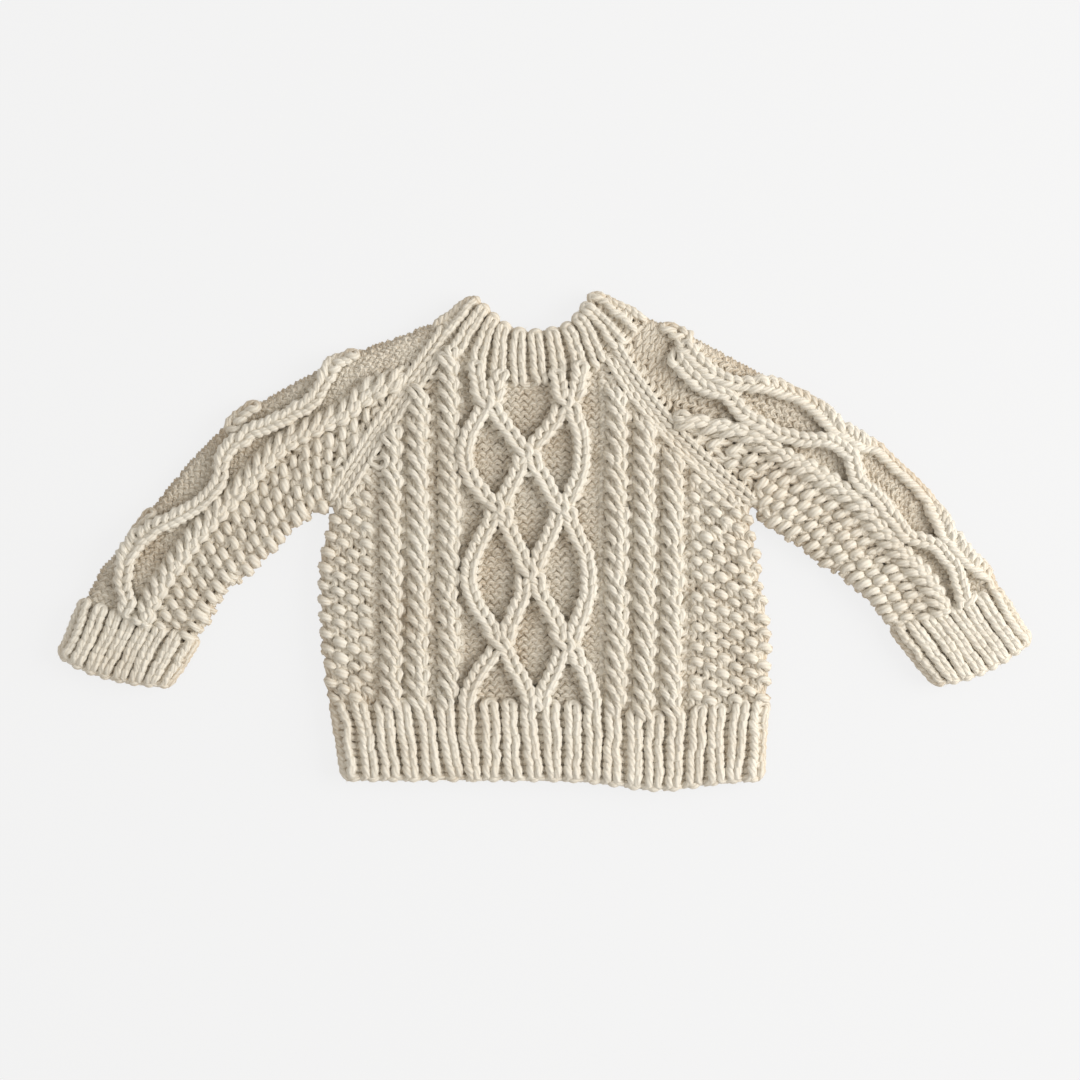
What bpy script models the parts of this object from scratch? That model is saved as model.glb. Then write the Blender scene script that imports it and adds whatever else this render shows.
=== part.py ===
"""Cable knit baby sweater, laid flat on its back, as the closed solids of its knitted pieces.

Two layers of chunky knit lie on each other with a thin hollow between them. The back panel, the
undersides of the sleeves and the back half of every band rest on z = 0. The upper layer carries
the relief: two-stitch ropes, a travelling lattice, ribs and a chain beside each raglan seam.
Tables are in millimetres, with X to the right, Y towards the neck and Z up.
"""

import math

import bmesh
import bpy
import numpy as np

MM = 0.001
CENTRE = (-0.007, -0.449, 0.0)  # middle of the plan in the tables' own places, put at the origin

# The cloth and how it lies
WALL = 5.5  # one layer of knit
HOLLOW = 2.0  # between the layers, where the wearer goes
FOLD_RADIUS = 8.0  # how far in from a side the cloth turns over
SEAM_GAP = 0.3  # between neighbouring pieces
SEAM_SLANT = 1.3  # a gap measured along X is so much wider than square to a raglan seam
NECK_EASE = 0.2  # a little more beside the tight curve of the neck
LINING_INSET = 1.0  # how far the inner face stops short of the outer one at a seam
TOP = 2.0 * WALL + HOLLOW
MIDDLE = 0.5 * TOP
FLOOR_INNER = WALL
CEILING_INNER = WALL + HOLLOW

# Relief above the ground fabric
ROPE_HALF_WIDTH = 6.6
ROPE_CREST_OFFSET = 3.0
ROPE_OFFSETS = (-ROPE_HALF_WIDTH, -ROPE_CREST_OFFSET, ROPE_CREST_OFFSET, ROPE_HALF_WIDTH)
ROPE_HEIGHT = 2.9
ROPE_TWIST = 0.7  # how much the crest rises and falls as the two stitches cross
ROPE_PITCH = 8.8  # one crossing of the two stitches, two rows
LINE_HEIGHT = 2.8  # the travelling stitches of the lattice
LINE_HALF_WIDTH = 4.6
CHAIN_HEIGHT = 1.8  # the knit chain beside a raglan seam
CHAIN_OFFSET = 5.0
SEAM_DIP = 2.2
SEAM_DIP_REACH = 3.0  # how far from the seam the cloth starts to dip
RELIEF_FADE = 2.0  # the length over which ropes and lines die out before a seam
RIB_HEIGHT = 1.8
RIB_VALLEY = 0.14  # the share of a rib's width that is the flat between two ribs
RIB_SHOULDER = 0.32  # from the middle of a rib to its shoulder, as a share of its width
RIB_SHOULDER_HEIGHT = 0.8 * RIB_HEIGHT
BAND_ROUNDING = 2.0  # how far from its end a band starts to round over
BAND_DROP = 1.6
ROW = ROPE_PITCH / 2.0

# Distances in from a side or a raglan seam at which the mesh has a line
EDGE_STEPS = (0.0, 0.7, 2.4, 5.0, 8.0, 10.5)
PLAIN_EDGE_STEPS = (0.0, 0.7, 2.4, 5.0, 8.0)
INNER_CLOSING = 3.0  # the length over which the hollow closes at a side
INNER_EDGE_STEPS = (WALL, WALL + INNER_CLOSING)

# Lines of the panels' meshes: rows by count, columns as (first x, last x, how many)
BACK_ROWS = 18
INNER_ROWS = 20
BACK_COLUMNS = ((-105.0, -62.0, 5), (-56.0, 54.0, 27), (60.0, 105.0, 5))
FRONT_COLUMNS = ((-112.0, -96.0, 3), (-44.0, 27.0, 19), (79.5, 111.0, 5))

# Lines of the tubes' meshes, as distances between them
PLAIN_SPACING = 9.0  # across an underside
NECKBAND_SPACING = 3.5  # the same under the neckband, which bends
INNER_SPACING_RATIO = 1.8  # the hollow's lines are so much further apart than an underside's
INNER_STATION_SPACING = 14.0
SLEEVE_STATION_SPACING = 1.15 * ROW
NECK_COLUMN_SPACING = 5.0
SEAM_MIDDLE = 0.55  # across share of the middle of a raglan seam
SLEEVE_OVER_COLUMNS = 9  # between the fold and the rope
SLEEVE_UNDER_COLUMNS = 4  # between the rope and the under edge

# Body outline: (y, x) down each side
LEFT_SIDE = (
    (-131.5, -109.0), (-112.0, -111.5), (-97.0, -114.4), (-83.0, -118.8),
    (-60.0, -121.6), (-34.0, -123.8), (-12.0, -123.2), (18.7, -116.0),
)
RIGHT_SIDE = (
    (-131.5, 117.7), (-110.0, 120.5), (-88.0, 121.6), (-55.6, 123.2),
    (-22.6, 118.8), (18.7, 111.0),
)
HEM_TOP = -90.0
HEM_BOTTOM = -131.5
HEM_SAG = (6.0, 62.0, 30.0)  # depth, place and half width of the dip in the hem
HEM_RIBS = 20

# Raglan seams: top corner at the neck, underarm corner, and the bow between them
RAGLAN = {
    "left": {"neck": (-52.8, 111.7), "underarm": (-116.0, 18.7), "bow": -2.4},
    "right": {"neck": (36.3, 104.0), "underarm": (111.0, 18.7), "bow": -8.0},
}

# Neck: (x, y) where the band meets the body and sleeves, and along its bound-off edge
NECK_SEAM = (
    (-57.8, 120.5), (-52.8, 111.7), (-43.5, 95.5), (-27.5, 87.2), (0.0, 86.0),
    (15.0, 87.6), (23.5, 91.5), (30.0, 97.2), (36.3, 104.0), (45.6, 114.3), (50.9, 124.8),
)
NECK_EDGE = (
    (-39.0, 133.7), (-30.8, 126.5), (-18.7, 117.0), (0.0, 115.0), (13.0, 119.5),
    (20.4, 128.5), (25.3, 135.9),
)
NECK_RIBS = 17

# Front: centres of the two-stitch ropes, and the nodes of the lattice as (y, x of each node)
ROPE_CENTRES = (-84.4, -69.6, -53.1, 38.8, 53.9, 69.1)
LATTICE_SIDES = (-46.0, 29.0)
LATTICE_NODES = (
    (91.0, (-37.0, -24.0, 5.5, 19.0)),
    (75.4, (-30.8, 12.1)),
    (45.7, (-44.0, -10.5, 20.9)),
    (15.2, (-25.3, 8.8)),
    (-23.7, (-41.5, -7.7, 23.4)),
    (-58.3, (-23.1, 12.4)),
    (-92.4, (-43.1, -5.0, 26.8)),
)

# Sleeves: (x, y) from the cuff to the neck along the fold, and from the cuff to the underarm
SLEEVES = {
    "left": {
        "fold": (
            (-253.6, -33.6), (-245.3, -17.1), (-228.8, 2.0), (-209.6, 27.0), (-190.3, 49.0),
            (-168.3, 69.5), (-140.8, 85.0), (-113.3, 100.0), (-80.3, 112.2), (-57.8, 120.5),
        ),
        "under": (
            (-190.3, -55.6), (-171.1, -28.1), (-151.8, -8.8), (-135.3, 8.5), (-116.0, 18.7),
        ),
        "cuff_end": ((-266.2, -63.8), (-253.6, -71.0), (-228.8, -78.0), (-205.7, -80.3)),
        "rope_share": ((0.0, 0.57), (1.0, 0.47)),
        "lines": (
            (
                (-102.3, 105.6), (-117.7, 91.9), (-122.1, 83.1), (-128.7, 74.8), (-151.8, 63.3),
                (-171.1, 51.7), (-177.7, 31.4), (-193.1, 17.1), (-213.4, 6.1), (-228.3, -11.6),
                (-229.4, -22.6), (-225.5, -42.0),
            ),
            ((-158.4, 76.5), (-164.5, 71.0), (-168.3, 64.4), (-171.0, 57.8)),
            ((-212.3, 25.9), (-216.7, 20.4), (-220.0, 12.7), (-222.5, 5.0)),
        ),
        "cuff_ribs": 9,
    },
    "right": {
        "fold": (
            (248.0, -27.0), (241.5, -15.0), (222.2, 10.5), (194.7, 40.7), (156.2, 71.0),
            (117.7, 92.0), (84.7, 109.5), (50.9, 124.8),
        ),
        "under": (
            (190.0, -49.7), (178.2, -35.6), (159.0, -20.6), (134.2, -1.3), (111.0, 18.7),
        ),
        "cuff_end": ((266.2, -55.6), (249.7, -67.7), (232.0, -76.0), (214.0, -80.0)),
        "rope_share": ((0.0, 0.69), (1.0, 0.64)),
        "lines": (
            (
                (79.2, 91.9), (99.6, 78.1), (109.5, 67.1), (139.7, 55.6), (162.8, 53.9),
                (196.4, 40.2), (207.4, 25.3), (220.0, -5.5), (227.2, -33.0),
            ),
            (
                (71.5, 112.2), (91.3, 85.8), (118.3, 84.2), (136.4, 78.1), (162.8, 53.9),
                (172.7, 27.0), (189.8, 6.1), (220.0, -5.5), (251.4, -29.0),
            ),
        ),
        "cuff_ribs": 9,
    },
}

WOOL = (0.78, 0.70, 0.57, 1.0)
WOOL_ROUGHNESS = 0.95
SHARP_ANGLE = math.radians(50.0)
PIECE_TINTS = {
    "front": 1.0, "back": 0.94, "sleeve": 0.98, "hem": 0.96, "cuff": 0.95, "neckband": 0.97,
}


# ---------------------------------------------------------------------------------- curves


def through(table, place):
    """Value at a place on a smooth line through a table of (place, value) rows."""
    places, values = np.transpose(np.asarray(table, float))
    slopes = np.gradient(values, places)
    at = float(np.clip(place, places[0], places[-1]))
    k = int(np.clip(np.searchsorted(places, at) - 1, 0, len(places) - 2))
    step = places[k + 1] - places[k]
    t = (at - places[k]) / step
    rise = (2 * t**3 - 3 * t**2 + 1) * values[k] + (3 * t**2 - 2 * t**3) * values[k + 1]
    lean = (t**3 - 2 * t**2 + t) * slopes[k] + (t**3 - t**2) * slopes[k + 1]
    return float(rise + step * lean)


def shares(points):
    """How far along a line of points each point is, from 0 to 1."""
    steps = np.linalg.norm(np.diff(np.asarray(points, float), axis=0), axis=1)
    along = np.concatenate([[0.0], np.cumsum(steps)])
    return along / along[-1]


def smooth_line(points, count=60):
    """The points of a smooth line through a few points, evenly spaced along it."""
    place = shares(points)
    across, up = np.transpose(np.asarray(points, float))
    fine = np.linspace(0.0, 1.0, 4 * count)
    line = np.array([
        (through(np.c_[place, across], t), through(np.c_[place, up], t)) for t in fine
    ])
    return along_line(line, np.linspace(0.0, 1.0, count))


def along_line(line, share):
    """The point or points at a share of the length of a line of points."""
    place = shares(line)
    return np.stack([np.interp(share, place, np.asarray(line)[:, k]) for k in (0, 1)], axis=-1)


def distance_to_lines(point, lines):
    """How far a point is from the nearest of several lines of points."""
    best = math.inf
    for line in lines:
        line = np.asarray(line, float)
        start, run = line[:-1], np.diff(line, axis=0)
        reach = ((point - start) * run).sum(axis=1) / (run**2).sum(axis=1)
        nearest = start + run * np.clip(reach, 0.0, 1.0)[:, None]
        best = min(best, float(np.linalg.norm(nearest - point, axis=1).min()))
    return best


def ease(value):
    """0 below 0, 1 above 1, and a smooth rise between."""
    t = min(max(value, 0.0), 1.0)
    return t * t * (3.0 - 2.0 * t)


def over_fold(distance):
    """Height of the upper face at a distance in from a folded side."""
    inward = min(max(distance / FOLD_RADIUS, 0.0), 1.0)
    return MIDDLE + (TOP - MIDDLE) * math.sqrt(1.0 - (1.0 - inward) ** 2)


def under_fold(distance):
    """Height of the lower face at a distance in from a folded side."""
    return TOP - over_fold(distance)


def ridge(offset, half_width, height):
    """A rounded ridge across the cloth."""
    return height * ease(1.0 - abs(offset) / half_width)


def seam_chain(distance):
    """The chain of knit stitches beside a raglan seam, and the dip at the seam itself."""
    crest = ridge(distance - CHAIN_OFFSET, CHAIN_OFFSET, CHAIN_HEIGHT)
    return crest - SEAM_DIP * ease(1.0 - distance / SEAM_DIP_REACH)


# ---------------------------------------------------------------------------- closed skins


class Skin:
    """The points and faces of one closed piece. Points that coincide are one."""

    def __init__(self):
        self.points = []
        self.faces = []
        self.known = {}

    def point(self, place):
        key = tuple(round(float(value), 3) for value in place)
        if key not in self.known:
            self.known[key] = len(self.points)
            self.points.append([float(v - c) * MM for v, c in zip(place, CENTRE)])
        return self.known[key]

    def face(self, corners):
        ring = [c for k, c in enumerate(corners) if c != corners[k - 1]]
        if len(set(ring)) >= 3:
            self.faces.append(ring)

    def sheet(self, rows):
        """Faces between neighbouring rows of points."""
        for low, high in zip(rows[:-1], rows[1:]):
            for k in range(len(low) - 1):
                self.face([low[k], low[k + 1], high[k + 1], high[k]])

    def rim(self, one, other):
        """Faces between two lines of (share, point) that run side by side."""
        i = j = 0
        while i < len(one) - 1 or j < len(other) - 1:
            last_i, last_j = i == len(one) - 1, j == len(other) - 1
            if last_j or (not last_i and one[i + 1][0] <= other[j + 1][0]):
                self.face([one[i][1], one[i + 1][1], other[j][1]])
                i += 1
            else:
                self.face([one[i][1], other[j + 1][1], other[j][1]])
                j += 1

    def build(self, name, tint):
        """The object of this piece, its faces turned outwards."""
        mesh = bpy.data.meshes.new(name)
        mesh.from_pydata(self.points, [], self.faces)
        shape = bmesh.new()
        shape.from_mesh(mesh)
        bmesh.ops.triangulate(shape, faces=shape.faces[:])
        bmesh.ops.recalc_face_normals(shape, faces=shape.faces[:])
        shape.to_mesh(mesh)
        shape.free()
        mesh.shade_smooth()
        mesh.set_sharp_from_angle(angle=SHARP_ANGLE)
        piece = bpy.data.objects.new(name, mesh)
        bpy.context.scene.collection.objects.link(piece)
        mesh.materials.append(wool(name, tint))
        return piece


def wool(name, tint):
    """Undyed wool, a shade darker on the pieces that lie lower."""
    material = bpy.data.materials.new(name)
    material.use_nodes = True
    surface = material.node_tree.nodes["Principled BSDF"]
    surface.inputs["Base Color"].default_value = (*(tint * c for c in WOOL[:3]), WOOL[3])
    surface.inputs["Roughness"].default_value = WOOL_ROUGHNESS
    surface.inputs["Metallic"].default_value = 0.0
    return material


# ------------------------------------------------------------------------------- the body


def hem_sag(x):
    depth, place, half_width = HEM_SAG
    return -depth * math.exp(-(((x - place) / half_width) ** 2))


def sagged(x, y):
    """The height of a row at x: the rows dip with the hem, less and less towards the arms."""
    underarm_y = RAGLAN["left"]["underarm"][1]
    share = (underarm_y - y) / (underarm_y - HEM_TOP)
    return y + hem_sag(x) * min(max(share, 0.0), 1.0)


def raglan_x(side, y):
    """Where a raglan seam is at a height y."""
    seam = RAGLAN[side]
    (neck_x, neck_y), (arm_x, arm_y) = seam["neck"], seam["underarm"]
    t = (neck_y - y) / (neck_y - arm_y)
    return neck_x + (arm_x - neck_x) * t + seam["bow"] * 4.0 * t * (1.0 - t)


def body_side(side, y):
    """The side of the body at a height y: its outline below the arm, the raglan seam above."""
    if y >= RAGLAN[side]["underarm"][1]:
        return raglan_x(side, min(y, RAGLAN[side]["neck"][1]))
    return through(LEFT_SIDE if side == "left" else RIGHT_SIDE, y)


NECK_LINE = smooth_line(NECK_SEAM, 120)


def neck_seam_y(x, inset=0.0):
    """Height of the neck seam at x, or of a line this far below it, square to it."""
    step = 0.5
    low, y, high = np.interp((x - step, x, x + step), NECK_LINE[:, 0], NECK_LINE[:, 1])
    room = inset + NECK_EASE if inset else 0.0
    return float(y - room * math.hypot(1.0, (high - low) / (2.0 * step)))


def inside(side):
    """Which way X runs from a side of the body towards its middle."""
    return 1.0 if side == "left" else -1.0


def side_line(side, y, step, inset):
    """X of the line that follows a side of the body at a distance in from it."""
    return body_side(side, y) + inside(side) * (step + inset)


def line_top(side, step, inset):
    """The height at which such a line runs into the neck."""
    low, high = RAGLAN[side]["underarm"][1], RAGLAN[side]["neck"][1]
    for _ in range(30):
        y = 0.5 * (low + high)
        if y < neck_seam_y(side_line(side, y, step, inset), inset):
            low = y
        else:
            high = y
    return low


def body_rows(rows, columns, steps, inset):
    """Plan of a panel: a row of (x, y, raglan side) for each height, cut off by seams and neck."""
    tops = {(side, s): line_top(side, s, inset) for side in RAGLAN for s in steps}
    inner = steps[-1]
    plan = []
    for row_y in rows:
        line = []
        for side, ladder in (("left", steps), (None, columns), ("right", steps[::-1])):
            for value in ladder:
                if side:
                    y = min(row_y, tops[side, value])
                    x = side_line(side, y, value, inset)
                else:
                    low = side_line("left", min(row_y, tops["left", inner]), inner, inset)
                    high = side_line("right", min(row_y, tops["right", inner]), inner, inset)
                    x = min(max(value, low), high)
                    y = min(row_y, neck_seam_y(x, inset))
                line.append((x, sagged(x, y)))
        plan.append(line)
    return plan


def lattice_lines():
    """The runs of the lattice, each between two of its nodes."""
    runs = []
    for (high_y, highs), (low_y, lows) in zip(LATTICE_NODES[:-1], LATTICE_NODES[1:]):
        for k, x in enumerate(highs):
            if len(highs) == 4:
                feet = (lows[k // 2],)
            elif len(highs) == 2:
                feet = (lows[k], lows[k + 1])
            else:
                feet = lows[max(k - 1, 0):k + 1]
            runs += [((x, high_y), (foot, low_y)) for foot in feet]
    return runs


LATTICE_RUNS = lattice_lines()


def front_relief(x, y):
    """Height of the front's ropes and lattice above its ground."""
    height = 0.0
    for centre in ROPE_CENTRES:
        across = x - centre
        if abs(across) < ROPE_HALF_WIDTH:
            turn = math.cos(2.0 * math.pi * (y - HEM_TOP) / ROPE_PITCH)
            lean = max(-1.0, min(1.0, across / ROPE_CREST_OFFSET))
            crest = ROPE_HEIGHT + ROPE_TWIST * turn * lean
            height = max(height, crest * ease(2.0 * (1.0 - abs(across) / ROPE_HALF_WIDTH)))
    low, high = LATTICE_SIDES
    if low - LINE_HALF_WIDTH < x < high + LINE_HALF_WIDTH:
        offset = distance_to_lines(np.array((x, y)), LATTICE_RUNS)
        height = max(height, ridge(offset, LINE_HALF_WIDTH, LINE_HEIGHT))
    return height


def front_top(x, y, row_y):
    """Height of the front's upper face."""
    left = x - body_side("left", row_y)
    right = body_side("right", row_y) - x
    near, side = (left, "left") if left < right else (right, "right")
    arm_y = RAGLAN[side]["underarm"][1]
    above_arm = ease((row_y - arm_y) / FOLD_RADIUS)
    ground = over_fold(near) * (1.0 - above_arm) + (TOP + seam_chain(near)) * above_arm
    clear = ease((near - EDGE_STEPS[-1]) / RELIEF_FADE + 0.5)
    clear *= ease((neck_seam_y(x) - y - NECK_EASE - SEAM_GAP) / RELIEF_FADE)
    return ground + clear * front_relief(x, row_y)


def panel(name, upper):
    """The front or the back panel: a wall with its outer face patterned or flat."""
    skin = Skin()
    neck_y = RAGLAN["left"]["neck"][1]
    gap = 0.5 * SEAM_GAP
    if upper:
        steps, columns = EDGE_STEPS, front_columns()
        rows = np.arange(HEM_TOP + gap, neck_y + ROW, ROW)
    else:
        steps, columns = PLAIN_EDGE_STEPS, back_columns()
        rows = np.linspace(HEM_TOP + gap, neck_y, BACK_ROWS)
    inner_columns = back_columns()[::2]
    inner_rows = np.linspace(HEM_TOP + gap + LINING_INSET, neck_y, INNER_ROWS)

    def outer_place(x, y, row_y):
        near = min(x - body_side("left", row_y), body_side("right", row_y) - x) - gap
        if upper:
            return x, y, max(front_top(x, y, row_y), MIDDLE + gap)
        arm_y = RAGLAN["left"]["underarm"][1]
        above_arm = ease((row_y - arm_y) / FOLD_RADIUS)
        return x, y, min(under_fold(near), MIDDLE - gap) * (1.0 - above_arm)

    def lay(rows, columns, steps, inset, height):
        plan = body_rows(rows, columns, steps, inset)
        return [
            [skin.point(height(x, y, row_y)) for x, y in line] for row_y, line in zip(rows, plan)
        ]

    outer = lay(rows, columns, steps, gap, outer_place)
    seam_z = MIDDLE + gap if upper else MIDDLE - gap

    def inner_place(x, y, row_y):
        near = min(x - body_side("left", row_y), body_side("right", row_y) - x)
        below_arm = 1.0 - ease((row_y - RAGLAN["left"]["underarm"][1]) / FOLD_RADIUS)
        closing = below_arm * (1.0 - ease((near - WALL) / INNER_CLOSING))
        open_z = CEILING_INNER if upper else FLOOR_INNER
        return x, y, open_z + (seam_z - open_z) * closing

    inner_steps = (0.0, *INNER_EDGE_STEPS)
    inner = lay(inner_rows, inner_columns, inner_steps, LINING_INSET + gap, inner_place)
    skin.sheet(outer)
    skin.sheet(inner)
    for side in range(4):
        skin.rim(border(skin, outer, side), border(skin, inner, side))
    return skin.build(name, PIECE_TINTS[name])


def border(skin, rows, side):
    """One of a sheet's four borders, as (share of its length, point)."""
    line = (rows[0], [r[-1] for r in rows], rows[-1], [r[0] for r in rows])[side]
    line = [p for k, p in enumerate(line) if k == 0 or p != line[k - 1]]
    place = shares([skin.points[p][:2] for p in line])
    return list(zip(place, line))


def back_columns():
    """X of the mesh lines that run up the back, closer together under the neck."""
    return sorted(x for run in BACK_COLUMNS for x in np.linspace(*run))


def front_columns():
    """X of the mesh lines that run up the front."""
    columns = [x for run in FRONT_COLUMNS for x in np.linspace(*run)]
    for centre in ROPE_CENTRES:
        columns += [centre + offset for offset in ROPE_OFFSETS]
    return sorted(columns)


# ------------------------------------------------------------------ tubes that lie folded


def rib_places(width, ribs):
    """Distances across a ribbed tube at which its mesh has a line, with the height there."""
    pitch = width / ribs
    flat, shoulder = RIB_VALLEY * pitch, RIB_SHOULDER * pitch
    places = []
    for k in range(ribs):
        middle = (k + 0.5) * pitch
        places += [
            (middle - 0.5 * (pitch - flat), 0.0), (middle - shoulder, RIB_SHOULDER_HEIGHT),
            (middle, RIB_HEIGHT), (middle + shoulder, RIB_SHOULDER_HEIGHT),
        ]
    return places + [(width - 0.5 * flat, 0.0)]


def tube(name, plan, widths, stations, uppers, tint, top_height, half=None,
         spacing=PLAIN_SPACING, marks=()):
    """A tube of cloth laid flat, or the upper or lower half of one.

    plan(across share, along share) gives x and y. stations are the along shares, uppers the
    across shares of the mesh lines on the upper face for each station, and top_height(across
    share, along share) the height of the upper face. The plain faces have mesh lines this
    spacing apart, and at the marks.
    """
    skin = Skin()
    gap = 0.5 * SEAM_GAP
    seam_z = {"upper": MIDDLE + gap, "lower": MIDDLE - gap, None: MIDDLE}[half]

    def place(s, b, z):
        x, y = plan(s, b)
        return skin.point((x, y, z))

    top, bottom, ceiling, floor = [], [], [], []
    if half != "lower":
        for b in stations:
            top.append([place(s, b, max(top_height(s, b), seam_z)) for s in uppers(b)])
    if half != "upper":
        for b in thinned(stations):
            across = sorted([*plain_shares(widths, b, spacing), *marks])
            across = across[1:-1] if half is None else across
            bottom.append([place(s, b, min(lower_face(s, widths(b)), seam_z)) for s in across])
    for b in inner_lengths(stations, widths.length):
        across = inner_shares(widths, b, INNER_SPACING_RATIO * spacing)
        across = sorted([*across, *(m for m in marks if m * widths.least > INNER_EDGE_STEPS[1])])
        for face, open_z, other in ((ceiling, CEILING_INNER, "lower"), (floor, FLOOR_INNER, "upper")):
            if half != other:
                heights = [seam_z, *[open_z] * (len(across) - 2), seam_z]
                face.append([place(s, b, z) for s, z in zip(across, heights)])
    for face in (top, bottom, ceiling, floor):
        skin.sheet(face)
    if half is None:
        for side in (1, 3):
            skin.rim(border(skin, top, side), border(skin, bottom, side))
        for end, side in ((0, 0), (-1, 2)):
            skin.rim(border(skin, top, side), border(skin, ceiling, side))
            under_end = [top[end][0], *bottom[end], top[end][-1]]
            skin.rim(border(skin, [under_end], 0), border(skin, floor, side))
    else:
        outer, inner = (top, ceiling) if half == "upper" else (bottom, floor)
        for side in range(4):
            skin.rim(border(skin, outer, side), border(skin, inner, side))
    return skin.build(name, tint)


def thinned(stations):
    """Every third of a tube's stations, with both ends, or all of them when there are few."""
    return stations if len(stations) < 8 else [*stations[:-1:3], stations[-1]]


def plain_shares(widths, b, spacing):
    """Across shares of the few mesh lines on an underside, about this far apart."""
    edge = [step / widths(b) for step in PLAIN_EDGE_STEPS]
    middle = list(np.linspace(edge[-1], 1.0 - edge[-1], max(3, round(widths.mean / spacing))))
    return edge[:-1] + middle + [1.0 - e for e in edge[:-1]][::-1]


def lower_face(share, width):
    return under_fold(min(share, 1.0 - share) * width)


def inner_shares(widths, b, spacing):
    """Across shares of the mesh lines inside a tube, from one end of the hollow to the other."""
    start, second = (step / widths(b) for step in INNER_EDGE_STEPS)
    middle = list(np.linspace(second, 1.0 - second, max(3, round(widths.mean / spacing))))
    return [start] + middle + [1.0 - start]


def inner_lengths(stations, length):
    """Along shares of the stations inside, a little short of the tube's two ends."""
    inset = LINING_INSET / length
    count = max(3, round(length / INNER_STATION_SPACING))
    return np.linspace(stations[0] + inset, stations[-1] - inset, count)


class Widths:
    """The width of a tube at an along share, its mean and least width, and its length."""

    def __init__(self, plan):
        across = np.linspace(0.0, 1.0, 25)
        self.table = []
        for b in np.linspace(0.0, 1.0, 21):
            line = np.array([plan(s, b) for s in across])
            self.table.append((b, float(np.linalg.norm(np.diff(line, axis=0), axis=1).sum())))
        ends = [np.array([plan(s, b) for b in across]) for s in (0.0, 1.0)]
        runs = [np.linalg.norm(np.diff(line, axis=0), axis=1).sum() for line in ends]
        self.length = float(0.5 * sum(runs))
        self.mean = float(np.mean([width for _, width in self.table]))
        self.least = min(width for _, width in self.table)

    def __call__(self, b):
        places, values = zip(*self.table)
        return float(np.interp(b, places, values))


def between(low, high):
    """A plan that runs from one line of points to another, both lines given across the tube."""
    def plan(s, b):
        return (1.0 - b) * along_line(low, s) + b * along_line(high, s)
    return plan


def trimmed(widths):
    """Stations of a band: its two ends, each half a seam gap short, and lines for its rounding."""
    low = 0.5 * SEAM_GAP / widths.length
    rounded = low + BAND_ROUNDING / widths.length
    return [low, rounded, 0.5, 1.0 - rounded, 1.0 - low]


def band(name, plan, ribs, tint, half=None, spacing=PLAIN_SPACING):
    """A ribbed band: a short tube laid flat whose upper face has ribs along its length."""
    widths = Widths(plan)
    stations = trimmed(widths)
    ends = (stations[0], stations[-1])

    ladder = [step / widths.mean for step in PLAIN_EDGE_STEPS[1:3]]
    ribbed = [place / widths.mean for place, _ in rib_places(widths.mean, ribs)]
    ribbed = [s for s in ribbed if ladder[-1] < s < 1.0 - ladder[-1]]
    columns = [0.0, *ladder, *ribbed, *[1.0 - s for s in ladder[::-1]], 1.0]

    def top_height(s, b):
        width = widths(b)
        near = min(s, 1.0 - s) * width
        places, heights = zip(*rib_places(width, ribs))
        relief = float(np.interp(s * width, places, heights)) * ease(near / FOLD_RADIUS)
        rounding = BAND_DROP if b in ends else 0.0
        return over_fold(near) + relief - rounding

    return tube(name, plan, widths, stations, lambda b: columns, tint, top_height, half, spacing)


# --------------------------------------------------------------------- the nine pieces


def hem(name, half):
    """One half of the hem: between the hem line and the bound-off edge."""
    def across(y, drop):
        left, right = body_side("left", y), body_side("right", y)
        xs = np.linspace(left, right, 60)
        return np.array([(x, y + drop * hem_sag(x)) for x in xs])
    plan = between(across(HEM_BOTTOM, 0.9), across(HEM_TOP, 1.0))
    return band(name, plan, HEM_RIBS, PIECE_TINTS["hem"], half=half)


def neckband():
    """The ribbed ring round the neck, folded flat at the two shoulders."""
    plan = between(NECK_LINE, smooth_line(NECK_EDGE))
    tint = PIECE_TINTS["neckband"]
    return band("neckband", plan, NECK_RIBS, tint, spacing=NECKBAND_SPACING)


def cuff(side):
    """A ribbed cuff: a short tube laid flat."""
    sleeve = SLEEVES[side]
    start = np.array([sleeve["fold"][0], sleeve["under"][0]])
    plan = between(along_line(start, np.linspace(0.0, 1.0, 30)), smooth_line(sleeve["cuff_end"]))
    return band(f"cuff_{side}", plan, sleeve["cuff_ribs"], PIECE_TINTS["cuff"])


def sleeve_end(side):
    """The armhole end of a sleeve: from the fold along the neck seam, then down the raglan seam."""
    seam = RAGLAN[side]
    corner_x, corner_y = seam["neck"]
    outward = -inside(side) * 0.5 * SEAM_GAP * SEAM_SLANT
    beside = NECK_LINE[:, 0] < corner_x if side == "left" else NECK_LINE[:, 0] > corner_x
    neck_part = NECK_LINE[beside] if side == "left" else NECK_LINE[beside][::-1]
    raglan_part = [(raglan_x(side, y), y) for y in np.linspace(corner_y, seam["underarm"][1], 40)]
    line = np.concatenate([neck_part, raglan_part])
    line[:len(neck_part)] += (outward, 0.0)
    return line + (outward, 0.0), shares(line)[len(neck_part)]


def sleeve_plan(side):
    """x and y on a sleeve: across from the fold to the under edge, along from cuff to armhole."""
    sleeve = SLEEVES[side]
    end, _ = sleeve_end(side)
    fold = smooth_line(sleeve["fold"][:-1] + (tuple(end[0]),))
    under = smooth_line(sleeve["under"][:-1] + (tuple(end[-1]),))
    cuff_line = np.array([fold[0], under[0]])

    def plan(s, b):
        sides = (1.0 - s) * along_line(fold, b) + s * along_line(under, b)
        ends = (1.0 - b) * along_line(cuff_line, s) + b * along_line(end, s)
        corners = (1.0 - b) * ((1.0 - s) * fold[0] + s * under[0])
        corners = corners + b * ((1.0 - s) * fold[-1] + s * under[-1])
        return sides + ends - corners
    return plan


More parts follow.
